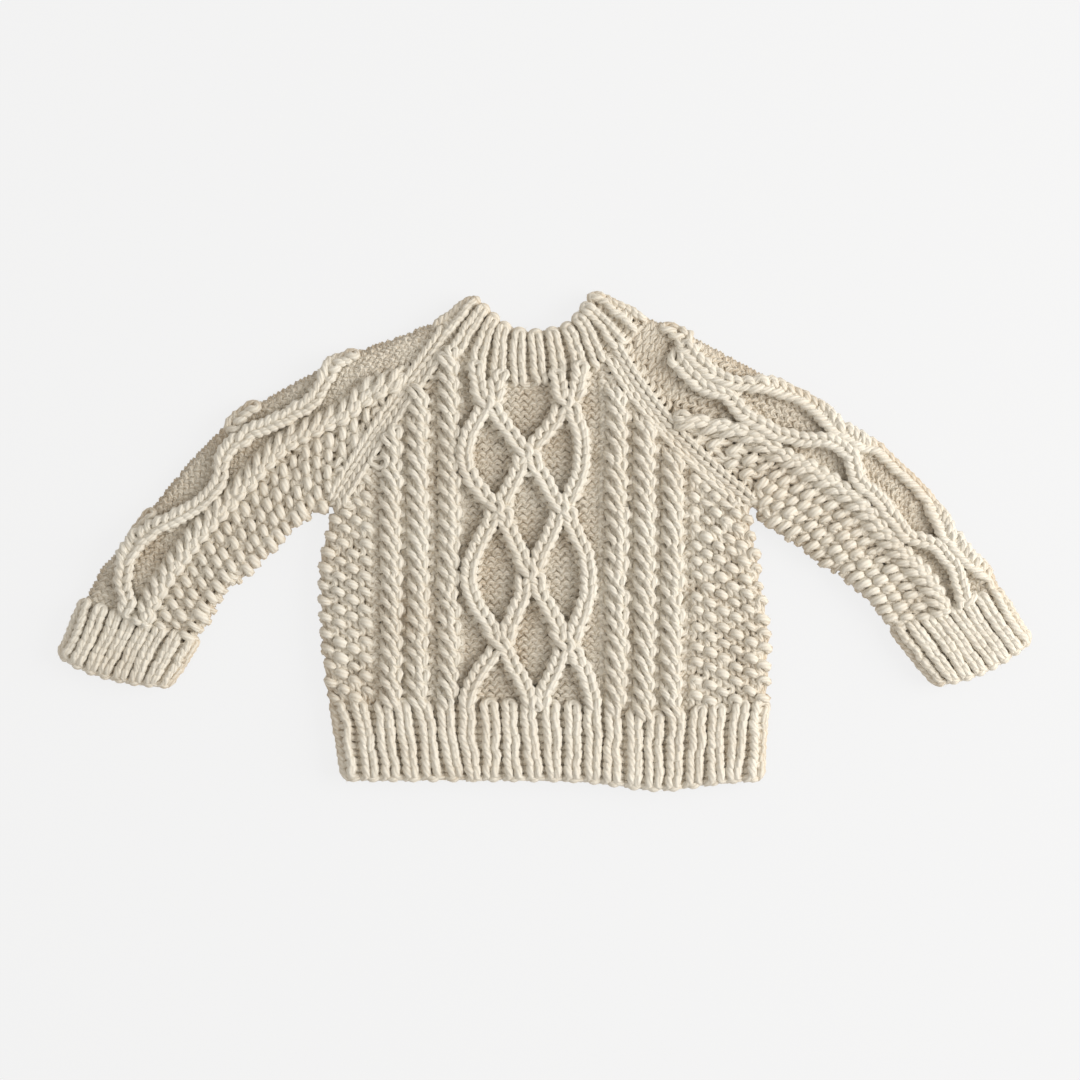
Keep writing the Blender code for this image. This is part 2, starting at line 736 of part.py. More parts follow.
def sleeve(side):
    """A sleeve: a tube laid flat from cuff to raglan seam, with a rope and travelling lines."""
    shape = SLEEVES[side]
    plan = sleeve_plan(side)
    widths = Widths(plan)
    lines = [smooth_line(points, 24) for points in shape["lines"]]
    gap = 0.5 * SEAM_GAP / widths.length
    corner = sleeve_end(side)[1]
    neck_columns = max(1, round((corner * widths(1.0) - FOLD_RADIUS) / NECK_COLUMN_SPACING))
    marks = np.linspace(0.0, corner, neck_columns + 2)[1:]
    chain_b = [1.0 - step / speed_at_end(plan) for step in EDGE_STEPS[::-1]]
    rows = round(widths.length / SLEEVE_STATION_SPACING)
    stations = list(np.linspace(gap, chain_b[0], rows))[:-1] + chain_b

    def rope_at(b):
        return float(np.interp(b, *zip(*shape["rope_share"])))

    def uppers(b):
        width = widths(b)
        edge = [step / width for step in PLAIN_EDGE_STEPS]
        rope = [rope_at(b) + offset / width for offset in ROPE_OFFSETS]
        beside_neck = list(np.linspace(edge[-1], corner, neck_columns + 1))[:-1]
        over_count = SLEEVE_OVER_COLUMNS - neck_columns // 2
        over = beside_neck + list(np.linspace(corner, rope[0], over_count))[:-1]
        under = list(np.linspace(rope[-1], 1.0 - edge[-1], SLEEVE_UNDER_COLUMNS))[1:]
        return edge[:-1] + over + rope + under + [1.0 - e for e in edge[:-1]][::-1]

    def top_height(s, b):
        width = widths(b)
        near = min(s, 1.0 - s) * width
        to_seam = (1.0 - b) * speed_at_end(plan)
        across = (s - rope_at(b)) * width
        relief = 0.0
        if abs(across) < ROPE_HALF_WIDTH:
            turn = math.cos(math.pi * stations.index(b))
            lean = max(-1.0, min(1.0, across / ROPE_CREST_OFFSET))
            crest = ROPE_HEIGHT + ROPE_TWIST * turn * lean
            relief = crest * ease(2.0 * (1.0 - abs(across) / ROPE_HALF_WIDTH))
        offset = distance_to_lines(plan(s, b), lines)
        relief = max(relief, ridge(offset, LINE_HALF_WIDTH, LINE_HEIGHT))
        relief *= ease((to_seam - EDGE_STEPS[-1]) / RELIEF_FADE + 0.5)
        chain = seam_chain(to_seam) * ease((s - corner) * width / CHAIN_OFFSET)
        return over_fold(near) + ease(near / FOLD_RADIUS) * (relief + chain)

    tint = PIECE_TINTS["sleeve"]
    return tube(f"sleeve_{side}", plan, widths, stations, uppers, tint, top_height, marks=marks)


def speed_at_end(plan):
    """How far from the raglan seam a point moves, square to it, for each unit of along share."""
    step, across = 0.02, 0.05
    along = (plan(SEAM_MIDDLE, 1.0) - plan(SEAM_MIDDLE, 1.0 - step)) / step
    seam = plan(SEAM_MIDDLE + across, 1.0) - plan(SEAM_MIDDLE - across, 1.0)
    seam = seam / np.linalg.norm(seam)
    return float(abs(along[0] * seam[1] - along[1] * seam[0]))


def main():
    for old in list(bpy.data.objects):
        bpy.data.objects.remove(old, do_unlink=True)
    panel("front", upper=True)
    panel("back", upper=False)
    hem("hem_front", "upper")
    hem("hem_back", "lower")
    for side in ("left", "right"):
        sleeve(side)
        cuff(side)
    neckband()


main()
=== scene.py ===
# %% [markdown]
# # A cable knit baby sweater, laid flat
#
# A sweater is one long yarn, bent into loops. Each loop is pulled through the one below it, so
# columns of loops (wales) grow upwards while the yarn runs across in rows (courses). Everything
# that shows on this garment, from the ropes to the pearls of seed stitch, comes from three
# choices for each loop: does it come out to the front (knit) or to the back (purl), how far is
# it moved sideways, and how far is it lifted.
#
# So this scene doesn't sculpt cables. It writes down a chart, bends yarn along it, and lays the
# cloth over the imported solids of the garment. The solids give the size, and are replaced.

# %% Load the frame
import math

import bmesh
import bpy
import numpy as np
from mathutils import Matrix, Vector


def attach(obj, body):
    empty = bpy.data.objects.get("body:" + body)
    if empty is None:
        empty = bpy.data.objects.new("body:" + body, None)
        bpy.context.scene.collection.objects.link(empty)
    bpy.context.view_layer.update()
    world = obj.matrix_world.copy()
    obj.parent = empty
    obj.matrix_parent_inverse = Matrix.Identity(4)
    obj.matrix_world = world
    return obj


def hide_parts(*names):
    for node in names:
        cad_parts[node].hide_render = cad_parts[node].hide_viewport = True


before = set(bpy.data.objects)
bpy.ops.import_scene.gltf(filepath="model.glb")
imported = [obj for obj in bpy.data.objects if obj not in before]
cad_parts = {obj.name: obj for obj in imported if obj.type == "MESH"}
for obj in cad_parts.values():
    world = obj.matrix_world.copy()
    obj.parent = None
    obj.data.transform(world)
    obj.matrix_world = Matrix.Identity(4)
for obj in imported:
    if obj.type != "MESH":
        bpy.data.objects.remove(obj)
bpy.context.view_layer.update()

MM = 0.001
print("pieces of the garment:", sorted(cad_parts))

# %% [markdown]
# ## The camera
#
# The garment is seen from straight above. A long lens well away from it keeps the sleeves from
# leaning outwards, which a short lens close up would do. The camera is set by what it should
# frame: a square of floor, and the lens then says how far up it hangs.

# %% Camera
def linked(name, data):
    """An object of a mesh, a lamp or a camera, in the scene."""
    made = bpy.data.objects.new(name, data)
    bpy.context.scene.collection.objects.link(made)
    return made


FRAME_SIDE = 589.0 * MM
FRAME_MIDDLE = (-2.9 * MM, 0.6 * MM)
LENS = 85.0
SENSOR = 36.0
YARN_LEVEL = 12.0 * MM  # the height at which the frame is this wide

camera = bpy.data.cameras.new("camera")
camera.lens = LENS
camera.sensor_width = SENSOR
seen_from = linked("camera", camera)
seen_from.location = (*FRAME_MIDDLE, FRAME_SIDE * LENS / SENSOR + YARN_LEVEL)
bpy.context.scene.camera = seen_from
print(f"camera {seen_from.location.z:.2f} m above the floor")

# %% [markdown]
# ## The yarn and the gauge
#
# Knitters measure a cloth by its gauge. This one is chunky: a stitch is about 7 mm wide and
# 4.4 mm tall, from yarn 3.9 mm thick. Sizes below are in millimetres, as on a pattern, and
# become metres when a mesh is made.

# %% Gauge
YARN_RADIUS = 1.95
ROW = 4.4
TOP = 13.0
MIDDLE = 0.5 * TOP
LEVEL = 3.9  # the middle of each layer of cloth, above or below the middle of the garment
EDGE_INSET = 2.5  # from the outline of the garment to the middle of the yarn there
EDGE_REACH = 5.0  # how far in from a side the cloth turns over, seen from above
EDGE_ARC = 0.5 * math.pi * math.sqrt(0.5 * (EDGE_REACH**2 + LEVEL**2))
EDGE_SLACK = EDGE_ARC - EDGE_REACH
GROOVE, GROOVE_REACH = 2.4, 3.2  # how deep cloth dips at a raglan seam, and how far from it
LOWEST = 1.12 * YARN_RADIUS  # the middle of uneven yarn that rests on the floor
KNIT, PURL = 1.0, -1.0
print(f"cloth turns over in {EDGE_ARC:.1f} mm of knitting")

# %% [markdown]
# ## The outline
#
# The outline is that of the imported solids: the two sides of the body, the two raglan seams that
# slant from the underarm to the neck, the neck seam, and each sleeve's fold and under edge.
# The same few points make the same smooth lines here.

# %% Outline tables
CENTRE = np.array((-0.007, -0.449))
LEFT_SIDE = (
    (-131.5, -109.0), (-112.0, -111.5), (-97.0, -114.4), (-83.0, -118.8),
    (-60.0, -121.6), (-34.0, -123.8), (-12.0, -123.2), (18.7, -116.0),
)
RIGHT_SIDE = (
    (-131.5, 117.7), (-110.0, 120.5), (-88.0, 121.6), (-55.6, 123.2),
    (-22.6, 118.8), (18.7, 111.0),
)
HEM_TOP = -90.0
HEM_BOTTOM = -131.5
HEM_SAG = (6.0, 62.0, 30.0)  # depth, place and half width of the dip in the hem
UNDERARM_Y = 18.7
RAGLAN = {
    "left": {"neck": (-52.8, 111.7), "underarm": (-116.0, UNDERARM_Y), "bow": -2.4},
    "right": {"neck": (36.3, 104.0), "underarm": (111.0, UNDERARM_Y), "bow": -8.0},
}
NECK_SEAM = (
    (-57.8, 120.5), (-52.8, 111.7), (-43.5, 95.5), (-27.5, 87.2), (0.0, 86.0),
    (15.0, 87.6), (23.5, 91.5), (30.0, 97.2), (36.3, 104.0), (45.6, 114.3), (50.9, 124.8),
)
NECK_EDGE = (
    (-39.0, 133.7), (-30.8, 126.5), (-18.7, 117.0), (0.0, 115.0), (13.0, 119.5),
    (20.4, 128.5), (25.3, 135.9),
)
SLEEVES = {
    "left": {
        "fold": (
            (-253.6, -33.6), (-245.3, -17.1), (-228.8, 2.0), (-209.6, 27.0), (-190.3, 49.0),
            (-168.3, 69.5), (-140.8, 85.0), (-113.3, 100.0), (-80.3, 112.2), (-57.8, 120.5),
        ),
        "under": (
            (-190.3, -55.6), (-171.1, -28.1), (-151.8, -8.8), (-135.3, 8.5), (-116.0, 18.7),
        ),
        "cuff_end": ((-266.2, -63.8), (-253.6, -71.0), (-228.8, -78.0), (-205.7, -80.3)),
    },
    "right": {
        "fold": (
            (248.0, -27.0), (241.5, -15.0), (222.2, 10.5), (194.7, 40.7), (156.2, 71.0),
            (117.7, 92.0), (84.7, 109.5), (50.9, 124.8),
        ),
        "under": (
            (190.0, -49.7), (178.2, -35.6), (159.0, -20.6), (134.2, -1.3), (111.0, 18.7),
        ),
        "cuff_end": ((266.2, -55.6), (249.7, -67.7), (232.0, -76.0), (214.0, -80.0)),
    },
}
print(f"body {HEM_TOP - HEM_BOTTOM:.0f} mm of hem, {UNDERARM_Y - HEM_TOP:.0f} mm to the underarm")

# %% Smooth lines
def through(table, place):
    """Values at places on a smooth line through a table of (place, value) rows."""
    places, values = np.transpose(np.asarray(table, float))
    slopes = np.gradient(values, places)
    at = np.clip(place, places[0], places[-1])
    k = np.clip(np.searchsorted(places, at) - 1, 0, len(places) - 2)
    step = places[k + 1] - places[k]
    t = (at - places[k]) / step
    rise = (2 * t**3 - 3 * t**2 + 1) * values[k] + (3 * t**2 - 2 * t**3) * values[k + 1]
    lean = (t**3 - 2 * t**2 + t) * slopes[k] + (t**3 - t**2) * slopes[k + 1]
    return rise + step * lean


def step_lengths(points):
    return np.linalg.norm(np.diff(points, axis=0), axis=1)


def shares(points):
    """How far along a line of points each point is, from 0 to 1."""
    along = np.concatenate([[0.0], np.cumsum(step_lengths(points))])
    return along / along[-1]


def along_line(line, share):
    """The points at shares of the length of a line of points."""
    place = shares(line)
    return np.stack([np.interp(share, place, line[:, k]) for k in (0, 1)], axis=-1)


def smooth_line(points, count=120):
    """The points of a smooth line through a few points, evenly spaced along it."""
    points = np.asarray(points, float)
    place = shares(points)
    fine = np.linspace(0.0, 1.0, 4 * count)
    line = np.stack([through(np.c_[place, points[:, k]], fine) for k in (0, 1)], axis=-1)
    return along_line(line, np.linspace(0.0, 1.0, count))


def ease(value):
    """0 below 0, 1 above 1, and a smooth rise between."""
    t = np.clip(value, 0.0, 1.0)
    return t * t * (3.0 - 2.0 * t)


def raglan_line(side, y):
    """X of a raglan seam at heights y."""
    seam = RAGLAN[side]
    (neck_x, neck_y), (arm_x, arm_y) = seam["neck"], seam["underarm"]
    t = (neck_y - np.clip(y, arm_y, neck_y)) / (neck_y - arm_y)
    return neck_x + (arm_x - neck_x) * t + seam["bow"] * 4.0 * t * (1.0 - t)


def body_side(side, y):
    """X of a side of the body at heights y: its outline below the arm, the raglan seam above."""
    outline = through(LEFT_SIDE if side == "left" else RIGHT_SIDE, np.minimum(y, UNDERARM_Y))
    return np.where(y > UNDERARM_Y, raglan_line(side, y), outline)


def hem_sag(x):
    depth, place, half_width = HEM_SAG
    return -depth * np.exp(-(((x - place) / half_width) ** 2))


NECK_LINE = smooth_line(NECK_SEAM)
NECK_TOP = smooth_line(NECK_EDGE)


def neck_y(x):
    """Height of the neck seam at x."""
    return np.interp(x, NECK_LINE[:, 0], NECK_LINE[:, 1])


print(f"half chest {body_side('right', 0.0) - body_side('left', 0.0):.0f} mm")

# %% [markdown]
# ## A layer of cloth
#
# A piece of flat-laid knitting is a surface with two coordinates: how far across the cloth, and
# which row. Where the cloth turns over at a side or a fold it follows a quarter of an ellipse,
# so the middle of the yarn goes round the edge instead of stopping there. At a raglan seam it
# doesn't turn over: it dips into the groove of the seam.
#
# Keeping all of that in one small class means that the chart and the loops never need to know
# which piece they are on. The alternative, a flat mesh pressed into shape afterwards, would
# stretch the loops where the cloth bends.

# %% Cloth
def always(v):
    return np.ones(np.shape(v))


class Cloth:
    """A layer of cloth. plan(s, v) is where the share s across row v lies, seen from above.

    measure says what a place across the cloth is: an x of the garment, mm from the fold, or a
    share of the width. rounded says for each side where the cloth turns over there.
    """

    def __init__(self, plan, rows, measure="share", rounded=(always, always)):
        self.plan, self.rows, self.measure, self.rounded = plan, rows, measure, rounded
        self.stops = np.arange(-3.0, rows + 3.0, 0.5)
        across = np.linspace(0.0, 1.0, 33)
        lines = [plan(across, np.full(len(across), v)) for v in self.stops]
        self.width_table = np.array([step_lengths(line).sum() for line in lines])

    def width(self, v):
        return np.interp(v, self.stops, self.width_table)

    def unrolled(self, v):
        """Width of the cloth laid out flat, with what goes round its edges."""
        return self.width(v) + EDGE_SLACK * (self.rounded[0](v) + self.rounded[1](v))

    def across(self, place, v):
        """Distance in from the left edge, along the cloth, of a place in its own measure."""
        if self.measure == "share":
            return place * self.unrolled(v)
        if self.measure == "x":
            left = self.plan(np.zeros(np.shape(v)), v)[..., 0]
            return place - left + EDGE_SLACK * self.rounded[0](v)
        return place

    def edges(self, v):
        """The places of the two edges of the cloth at row v, in the cloth's own measure."""
        if self.measure == "share":
            return 0.0, 1.0
        total = float(self.unrolled(v))
        if self.measure == "x":
            low = float(self.plan(np.zeros(1), np.array([v]))[0, 0])
            low -= EDGE_SLACK * float(self.rounded[0](v))
            return low, low + total
        return 0.0, total

    def place(self, across, v, lift, face, girth=1.0):
        """Points on the cloth: face is 1 for an upper layer and -1 for the one it lies on."""
        total, width = self.unrolled(v), self.width(v)
        left = across < 0.5 * total
        near = np.maximum(np.where(left, across, total - across), 0.0)
        rounded = np.where(left, self.rounded[0](v), self.rounded[1](v))
        turn = 0.5 * math.pi * np.clip(near / EDGE_ARC, 0.0, 1.0)
        curved = np.where(near < EDGE_ARC, EDGE_REACH * (1 - np.cos(turn)), near - EDGE_SLACK)
        inward = rounded * curved + (1.0 - rounded) * near
        rise = rounded * np.sin(turn) + (1.0 - rounded)
        lean = rounded * np.cos(turn)
        share = np.where(left, inward / width, 1.0 - inward / width)
        spot = self.plan(share, v)
        beside = self.plan(share + np.where(left, 0.01, -0.01), v)
        outward = spot - beside
        outward /= np.linalg.norm(outward, axis=-1, keepdims=True)
        dip = GROOVE * (1.0 - rounded) * ease(1.0 - near / GROOVE_REACH)
        height = MIDDLE + face * (LEVEL * rise + lift * np.sqrt(1.0 - lean**2) - dip)
        spot = spot + outward * (lean * lift)[..., None] - CENTRE
        return np.concatenate([spot, np.maximum(height, LOWEST * girth)[..., None]], axis=-1)


print(f"{EDGE_REACH:.0f} mm at a side, seen from above, hold {EDGE_ARC:.1f} mm of cloth")

# %% [markdown]
# ## Where each piece lies
#
# The body's rows run straight across. A sleeve's rows run from its fold to its under edge, and
# above the underarm to the raglan seam. Hem, cuffs and neckband are bands between two lines: one
# is the edge of the garment, and the other is the first row of the piece that they carry.

# %% Plans of the body and the sleeves
BODY_ROWS = 46
SLEEVE_ROWS = 35
RAGLAN_ROWS = 24
UNDERARM_ROW = (UNDERARM_Y - HEM_TOP) / ROW - 0.5
SEAM_INSET = -0.4  # the two sides of a raglan seam lie over each other by twice that
LAST_LOOP = 0.3  # of a row, from the last row of a sleeve to the neck seam
ARM_LEVEL = (0.5, 0.72)  # between these shares, a sleeve's fold is level with the underarm
ARM_POINTS = 8  # of the under edge, whose direction counts at the underarm
CUFF_POINTS = 20  # of the fold, next to the cuff, which are too low to be level with it
INTO_CUFF = 0.1  # how far a sleeve's rows may go on below its first one, of its lower part


def body_plan(s, v):
    """Front and back: straight rows from side to side, dipping where the hem dips."""
    y = HEM_TOP + (v + 0.5) * ROW
    inset = np.where(y > UNDERARM_Y, SEAM_INSET, EDGE_INSET)
    left, right = body_side("left", y) + inset, body_side("right", y) - inset
    x = left + s * (right - left)
    fade = np.clip((UNDERARM_Y - y) / (UNDERARM_Y - HEM_TOP), 0.0, 1.0)
    return np.stack([x, y + hem_sag(x) * fade], axis=-1)


def up_to(row):
    """1 below a row, where the cloth turns over at its side, and 0 above, at the raglan seam."""
    return lambda v: 1.0 - ease((np.asarray(v) - row + 1.0) / 2.0)


def inset_line(line, other, inset):
    """A line of points, moved towards another one."""
    run = along_line(other, shares(line)) - line
    return line + inset * run / np.linalg.norm(run, axis=1, keepdims=True)


def sleeve_plan(side):
    """A sleeve: rows from the fold to the under edge, then from the fold to the raglan seam."""
    table = SLEEVES[side]
    fold, under = smooth_line(table["fold"]), smooth_line(table["under"])
    heights = np.linspace(UNDERARM_Y, RAGLAN[side]["neck"][1], 60)
    outward = -1.0 if side == "left" else 1.0
    seam = np.stack([raglan_line(side, heights) + outward * SEAM_INSET, heights], axis=-1)
    fold_in = inset_line(fold, under, EDGE_INSET)
    under_in = inset_line(under, fold, EDGE_INSET)
    # The row that ends at the underarm runs square to the under edge there.
    askew = np.abs(((fold_in - under_in[-1]) * (under[-1] - under[-ARM_POINTS])).sum(axis=1))
    level = shares(fold_in)[int(np.argmin(askew[CUFF_POINTS:])) + CUFF_POINTS]
    level = min(max(level, ARM_LEVEL[0]), ARM_LEVEL[1])

    def plan(s, v):
        low = np.clip(v / SLEEVE_ROWS, -INTO_CUFF, 1.0)
        high = np.clip((v - SLEEVE_ROWS) / (RAGLAN_ROWS - LAST_LOOP), 0.0, 1.0)
        a = along_line(fold_in, level * low + (1.0 - level) * high)
        near = along_line(under_in, low)
        far = along_line(seam, high)
        join = ease(v - SLEEVE_ROWS)[..., None]
        b = near * (1.0 - join) + far * join
        return a + s[..., None] * (b - a)

    return plan


print(f"underarm at row {UNDERARM_ROW:.0f} of {BODY_ROWS}")

# %% Plans of the bands
def between(low, high, rows, below=0.0, above=0.0):
    """A band from one line of points to another, with room below and above its rows."""
    def plan(s, v):
        t = ((v + 0.5 + below) / (rows + below + above))[..., None]
        return (1.0 - t) * along_line(low, s) + t * along_line(high, s)
    return plan


def ends_inset(line, inset):
    """A line of points whose two ends are drawn in."""
    length = step_lengths(line).sum()
    return along_line(line, np.linspace(inset / length, 1.0 - inset / length, len(line)))


def hem_line(y, drop):
    x = np.linspace(body_side("left", y), body_side("right", y), 80)
    return ends_inset(np.stack([x, y + drop * hem_sag(x)], axis=-1), EDGE_INSET)


print(f"hem {step_lengths(hem_line(HEM_BOTTOM, 0.9)).sum():.0f} mm wide at its edge")

# %% Cloth of the pieces
HEM_ROWS, CUFF_ROWS, NECK_ROWS = 9, 8, 7
body = Cloth(body_plan, BODY_ROWS, "x", (up_to(UNDERARM_ROW), up_to(UNDERARM_ROW)))
EDGE_ROOM = 0.9  # rows
PICKED_UP = 0.2  # rows: the neckband starts so far above its seam, over the last stitches
NECK_TUCK = 4.0  # how far its two ends lie over the tops of the sleeves
hem_plan = between(hem_line(HEM_BOTTOM, 0.9), hem_line(HEM_TOP, 1.0), HEM_ROWS, below=EDGE_ROOM)
hem = Cloth(hem_plan, HEM_ROWS)
sleeves, cuffs = {}, {}
for side in ("left", "right"):
    plan = sleeve_plan(side)
    sleeves[side] = Cloth(plan, SLEEVE_ROWS + RAGLAN_ROWS, "fold", (always, up_to(SLEEVE_ROWS)))
    wrist = plan(np.linspace(0.0, 1.0, 40), np.zeros(40))
    end = ends_inset(smooth_line(SLEEVES[side]["cuff_end"], 40), EDGE_INSET)
    cuffs[side] = Cloth(between(end, wrist, CUFF_ROWS, below=EDGE_ROOM), CUFF_ROWS)
neck_low, neck_high = ends_inset(NECK_LINE, EDGE_INSET), ends_inset(NECK_TOP, EDGE_INSET)
over_sleeves = NECK_TUCK * np.abs(np.linspace(-1.0, 1.0, len(neck_low)))[:, None] ** 3
neck_low = inset_line(neck_low, neck_high, -over_sleeves)
neck_plan = between(neck_low, neck_high, NECK_ROWS, below=PICKED_UP, above=EDGE_ROOM)
neck = Cloth(neck_plan, NECK_ROWS)
print(f"sleeve {sleeves['left'].width(0):.0f} mm wide at the wrist, "
      f"{sleeves['left'].width(SLEEVE_ROWS):.0f} mm at the underarm")

# %% [markdown]
# ## The chart
#
# A chart is a grid: a line for each wale, a column for each row of knitting. For each stitch it
# says where the wale is, whether it is knit or purl, how far it is lifted, and how wide it is.
# A wale that has ended, at a decrease or at the neck, has no place in the later rows.

# %% Chart
USUAL = {
    "place": np.nan, "kind": KNIT, "lift": 0.0, "wide": 6.0,
    "girth": 1.0,  # of the yarn, where a wale is fuller or is squeezed
    "lean": 0.0,  # how far a stitch leans in a row, towards the right
    "flare": 1.0,  # of LOOP_BULGE: less has its legs side by side
    "tall": 1.0,  # of LOOP_REACH
    "rise": 0.0,  # of a stitch above its row, in rows
    "cord": np.nan,  # the middle of the rope that a wale is part of
}


UNEVEN = {"lift": 0.3, "girth": 0.05, "rise": 0.06}  # of hand knitting
UNEVEN_TURN = 1.2  # the more so where a wale turns from knit to purl
SWAY = 0.3  # of a stitch to either side, in mm
DRIFT, DRIFT_ROWS = 1.6, 5  # of a wale over so many rows, in sways


class Chart:
    """The stitches of one layer of cloth, by wale and row.

    hand is -1 where wales count from the right.
    """

    def __init__(self, rows, hand=1.0):
        self.rows, self.hand = rows, hand
        self.columns = {name: [] for name in USUAL}

    def add(self, **values):
        """One wale: each value is a number, or one for each row."""
        for name, column in self.columns.items():
            value = np.asarray(values.get(name, USUAL[name]), float)
            column.append(np.broadcast_to(value, self.rows).copy())

    def close(self, seed, sway):
        """The chart as arrays, with the small unevenness of hand knitting."""
        chance = np.random.default_rng(seed)
        for name, column in self.columns.items():
            setattr(self, name, np.array(column))
        rows, knots = np.arange(self.rows), np.arange(0, self.rows + DRIFT_ROWS, DRIFT_ROWS)
        for wale in self.place:
            drift = np.interp(rows, knots, chance.normal(0.0, DRIFT * sway, len(knots)))
            wale += drift + chance.normal(0.0, sway, self.rows)
        turns = np.abs(np.diff(self.kind, axis=1, append=self.kind[:, :1])) > 0
        for name, amount in UNEVEN.items():
            column = getattr(self, name)
            column += (1.0 + UNEVEN_TURN * turns) * chance.normal(0.0, amount, column.shape)
        return self

    def insert(self, **values):
        """One more wale, after the chart is closed."""
        for name in self.columns:
            row = np.broadcast_to(np.asarray(values.get(name, USUAL[name]), float), self.rows)
            setattr(self, name, np.vstack([getattr(self, name), row]))


print("each stitch has", ", ".join(USUAL))

# %% [markdown]
# ## Knit, purl and what lies under
#
# Seed stitch is knit and purl by turns, which leaves a field of pearls. A purl ground is what
# ropes and lines stand on: it has to give way where they pass, as the same number of stitches
# then shares less room. The side that lies on the floor keeps the same stitches, pressed flat.

# %% Stitch patterns
UNDER_RELIEF = 0.27
SLOT_POINTS = 40  # to a ground wale's slot, in which its place is looked up


def relief(face):
    """How much of its relief a layer keeps: all on top, and little where it lies on the floor."""
    return 1.0 if face > 0 else UNDER_RELIEF


def seed_stitch(rows, wale):
    """Knit and purl by turns, out of step with the wale beside it."""
    return np.where((np.arange(rows) + wale) % 2 == 0, KNIT, PURL)


def under_lines(lines, count, low, high):
    """Places of the ground wales: one to a slot, moved over by one slot as a line passes them."""
    slots = count + len(lines)
    pitch = (high - low) / slots
    place = np.linspace(low, high, SLOT_POINTS * slots + 1)
    passed = np.zeros_like(place)
    for line in lines:
        passed += np.clip((place - line) / pitch + 0.5, 0.0, 1.0)
    # A hair's breadth a point keeps the numbers rising where a line stands still.
    ground = (place - low) / pitch - passed + np.arange(len(place)) * 1e-7
    return np.interp(np.arange(count) + 0.5, ground, place), pitch


PRESS_DEPTH, PRESS_REACH = 1.3, 4.5


def pressed(places, lines):
    """How far ground wales sink under raised lines that lie over them."""
    sunk = np.zeros(len(places))
    for line in lines:
        sunk -= PRESS_DEPTH * np.exp(-(((places - line) / PRESS_REACH) ** 2))
    return sunk


print("seed stitch:", *("knit" if kind == KNIT else "purl" for kind in seed_stitch(4, 0)))

# %% [markdown]
# ## Ropes and travelling stitches
#
# A rope is two knit wales that change places every second row, always the same one in front.
# The front strand leans over the other like the strokes of a backslash. The lattice is made of
# single knit wales that travel over a purl ground: they meet, cross, part, and turn back at the
# edges of the panel. A purl wale never crosses another, it only slips under a knit one.

# %% Ropes
ROPE_CENTRES = (-84.4, -69.6, -53.1, 38.8, 53.9, 69.1)
ROPE_EDGE = 6.6
ROPE_WIDE = 6.2
ROPE_OVER_WIDE, ROPE_OVER_TALL = 9.0, 1.22
ROPE_STAND = 2.7  # from the middle of a rope to a stitch that stands beside it
ROPE_FIRST = 0.3  # a leaning stitch passes the middle: this says which one the yarn reaches first
ROPE_LEAN = 3.3
ROPE_LIFTS = (4.2, 0.6, -0.4, 3.5)  # leaning over, standing, leaning back, standing
ROPE_GIRTHS = (0.98, 0.86, 0.86, 1.02)
ROPE_OVER_FLARE = 0.6
ROPE_ROUND = 1.1  # how much lower a rope is at its edges than along its middle


def rope(rows, centre, hand=1.0):
    """The two wales of a rope. Each takes four rows to lean over, stand, lean back and stand."""
    step = np.arange(rows)
    drift = np.gradient(centre + 0.0 * step)
    wales = []
    for first in (0, 2):
        phase = (step + first) % 4
        side = hand * np.choose(phase, (ROPE_FIRST, -ROPE_STAND, -ROPE_FIRST, ROPE_STAND))
        lean = hand * np.choose(phase, (-ROPE_LEAN, 0.0, ROPE_LEAN, 0.0)) + drift
        over = phase == 0
        wales.append({
            "place": centre + side, "lift": np.choose(phase, ROPE_LIFTS), "lean": lean,
            "wide": np.where(over, ROPE_OVER_WIDE, ROPE_WIDE),
            "flare": np.where(over, ROPE_OVER_FLARE, 1.0),
            "tall": np.where(over, ROPE_OVER_TALL, 1.0), "cord": centre + 0.0 * side,
            "girth": np.choose(phase, ROPE_GIRTHS),
        })
    return wales


print(f"a rope turns once in {4 * ROW:.1f} mm")

# %% Lattice
LINE_LIFT = 4.2
LINE_OVER, LINE_UNDER = 1.6, -2.4
LINE_LEAN = 3.7
LINE_WIDTH = 8.4
LINE_GIRTH = 1.08
LINE_FLARE = 0.85
MOST_LEAN = 5.0
CROSSING_GAP = 7.8
LATTICE = (-46.2, 31.6)
LATTICE_PURLS = 13
GROUND_GIRTH = 0.84
LATTICE_NODES = (  # from the hem up: height, and the places of the four lines from the left
    (-92.4, (-43.1, -5.0, -5.0, 26.8)),
    (-56.3, (-23.1, -23.1, 12.4, 12.4)),
    (-18.8, (-41.5, -7.7, -7.7, 23.4)),
    (17.0, (-25.3, -25.3, 8.8, 8.8)),
    (47.0, (-44.0, -10.5, -10.5, 20.9)),
    (75.4, (-30.8, -30.8, 12.1, 12.1)),
    (91.0, (-37.0, -24.0, 5.5, 19.0)),
)


def lattice_slots(y):
    """Places of the lattice's four lines at a height, from the left, before any of them cross."""
    node_y = [height for height, _ in LATTICE_NODES]
    k = int(np.clip(np.searchsorted(node_y, y) - 1, 0, len(node_y) - 2))
    (low_y, low), (high_y, high) = LATTICE_NODES[k], LATTICE_NODES[k + 1]
    t = float(np.clip((y - low_y) / (high_y - low_y), 0.0, 1.0))
    straight = np.array(low) + t * (np.array(high) - low)
    outer = math.sin(0.5 * math.pi * (t if k % 2 == 1 else 1.0 - t))
    outer = outer if k % 2 == 1 else 1.0 - outer
    bent = np.array(low) + outer * (np.array(high) - low)
    return np.array([bent[0], straight[1], straight[2], bent[3]])


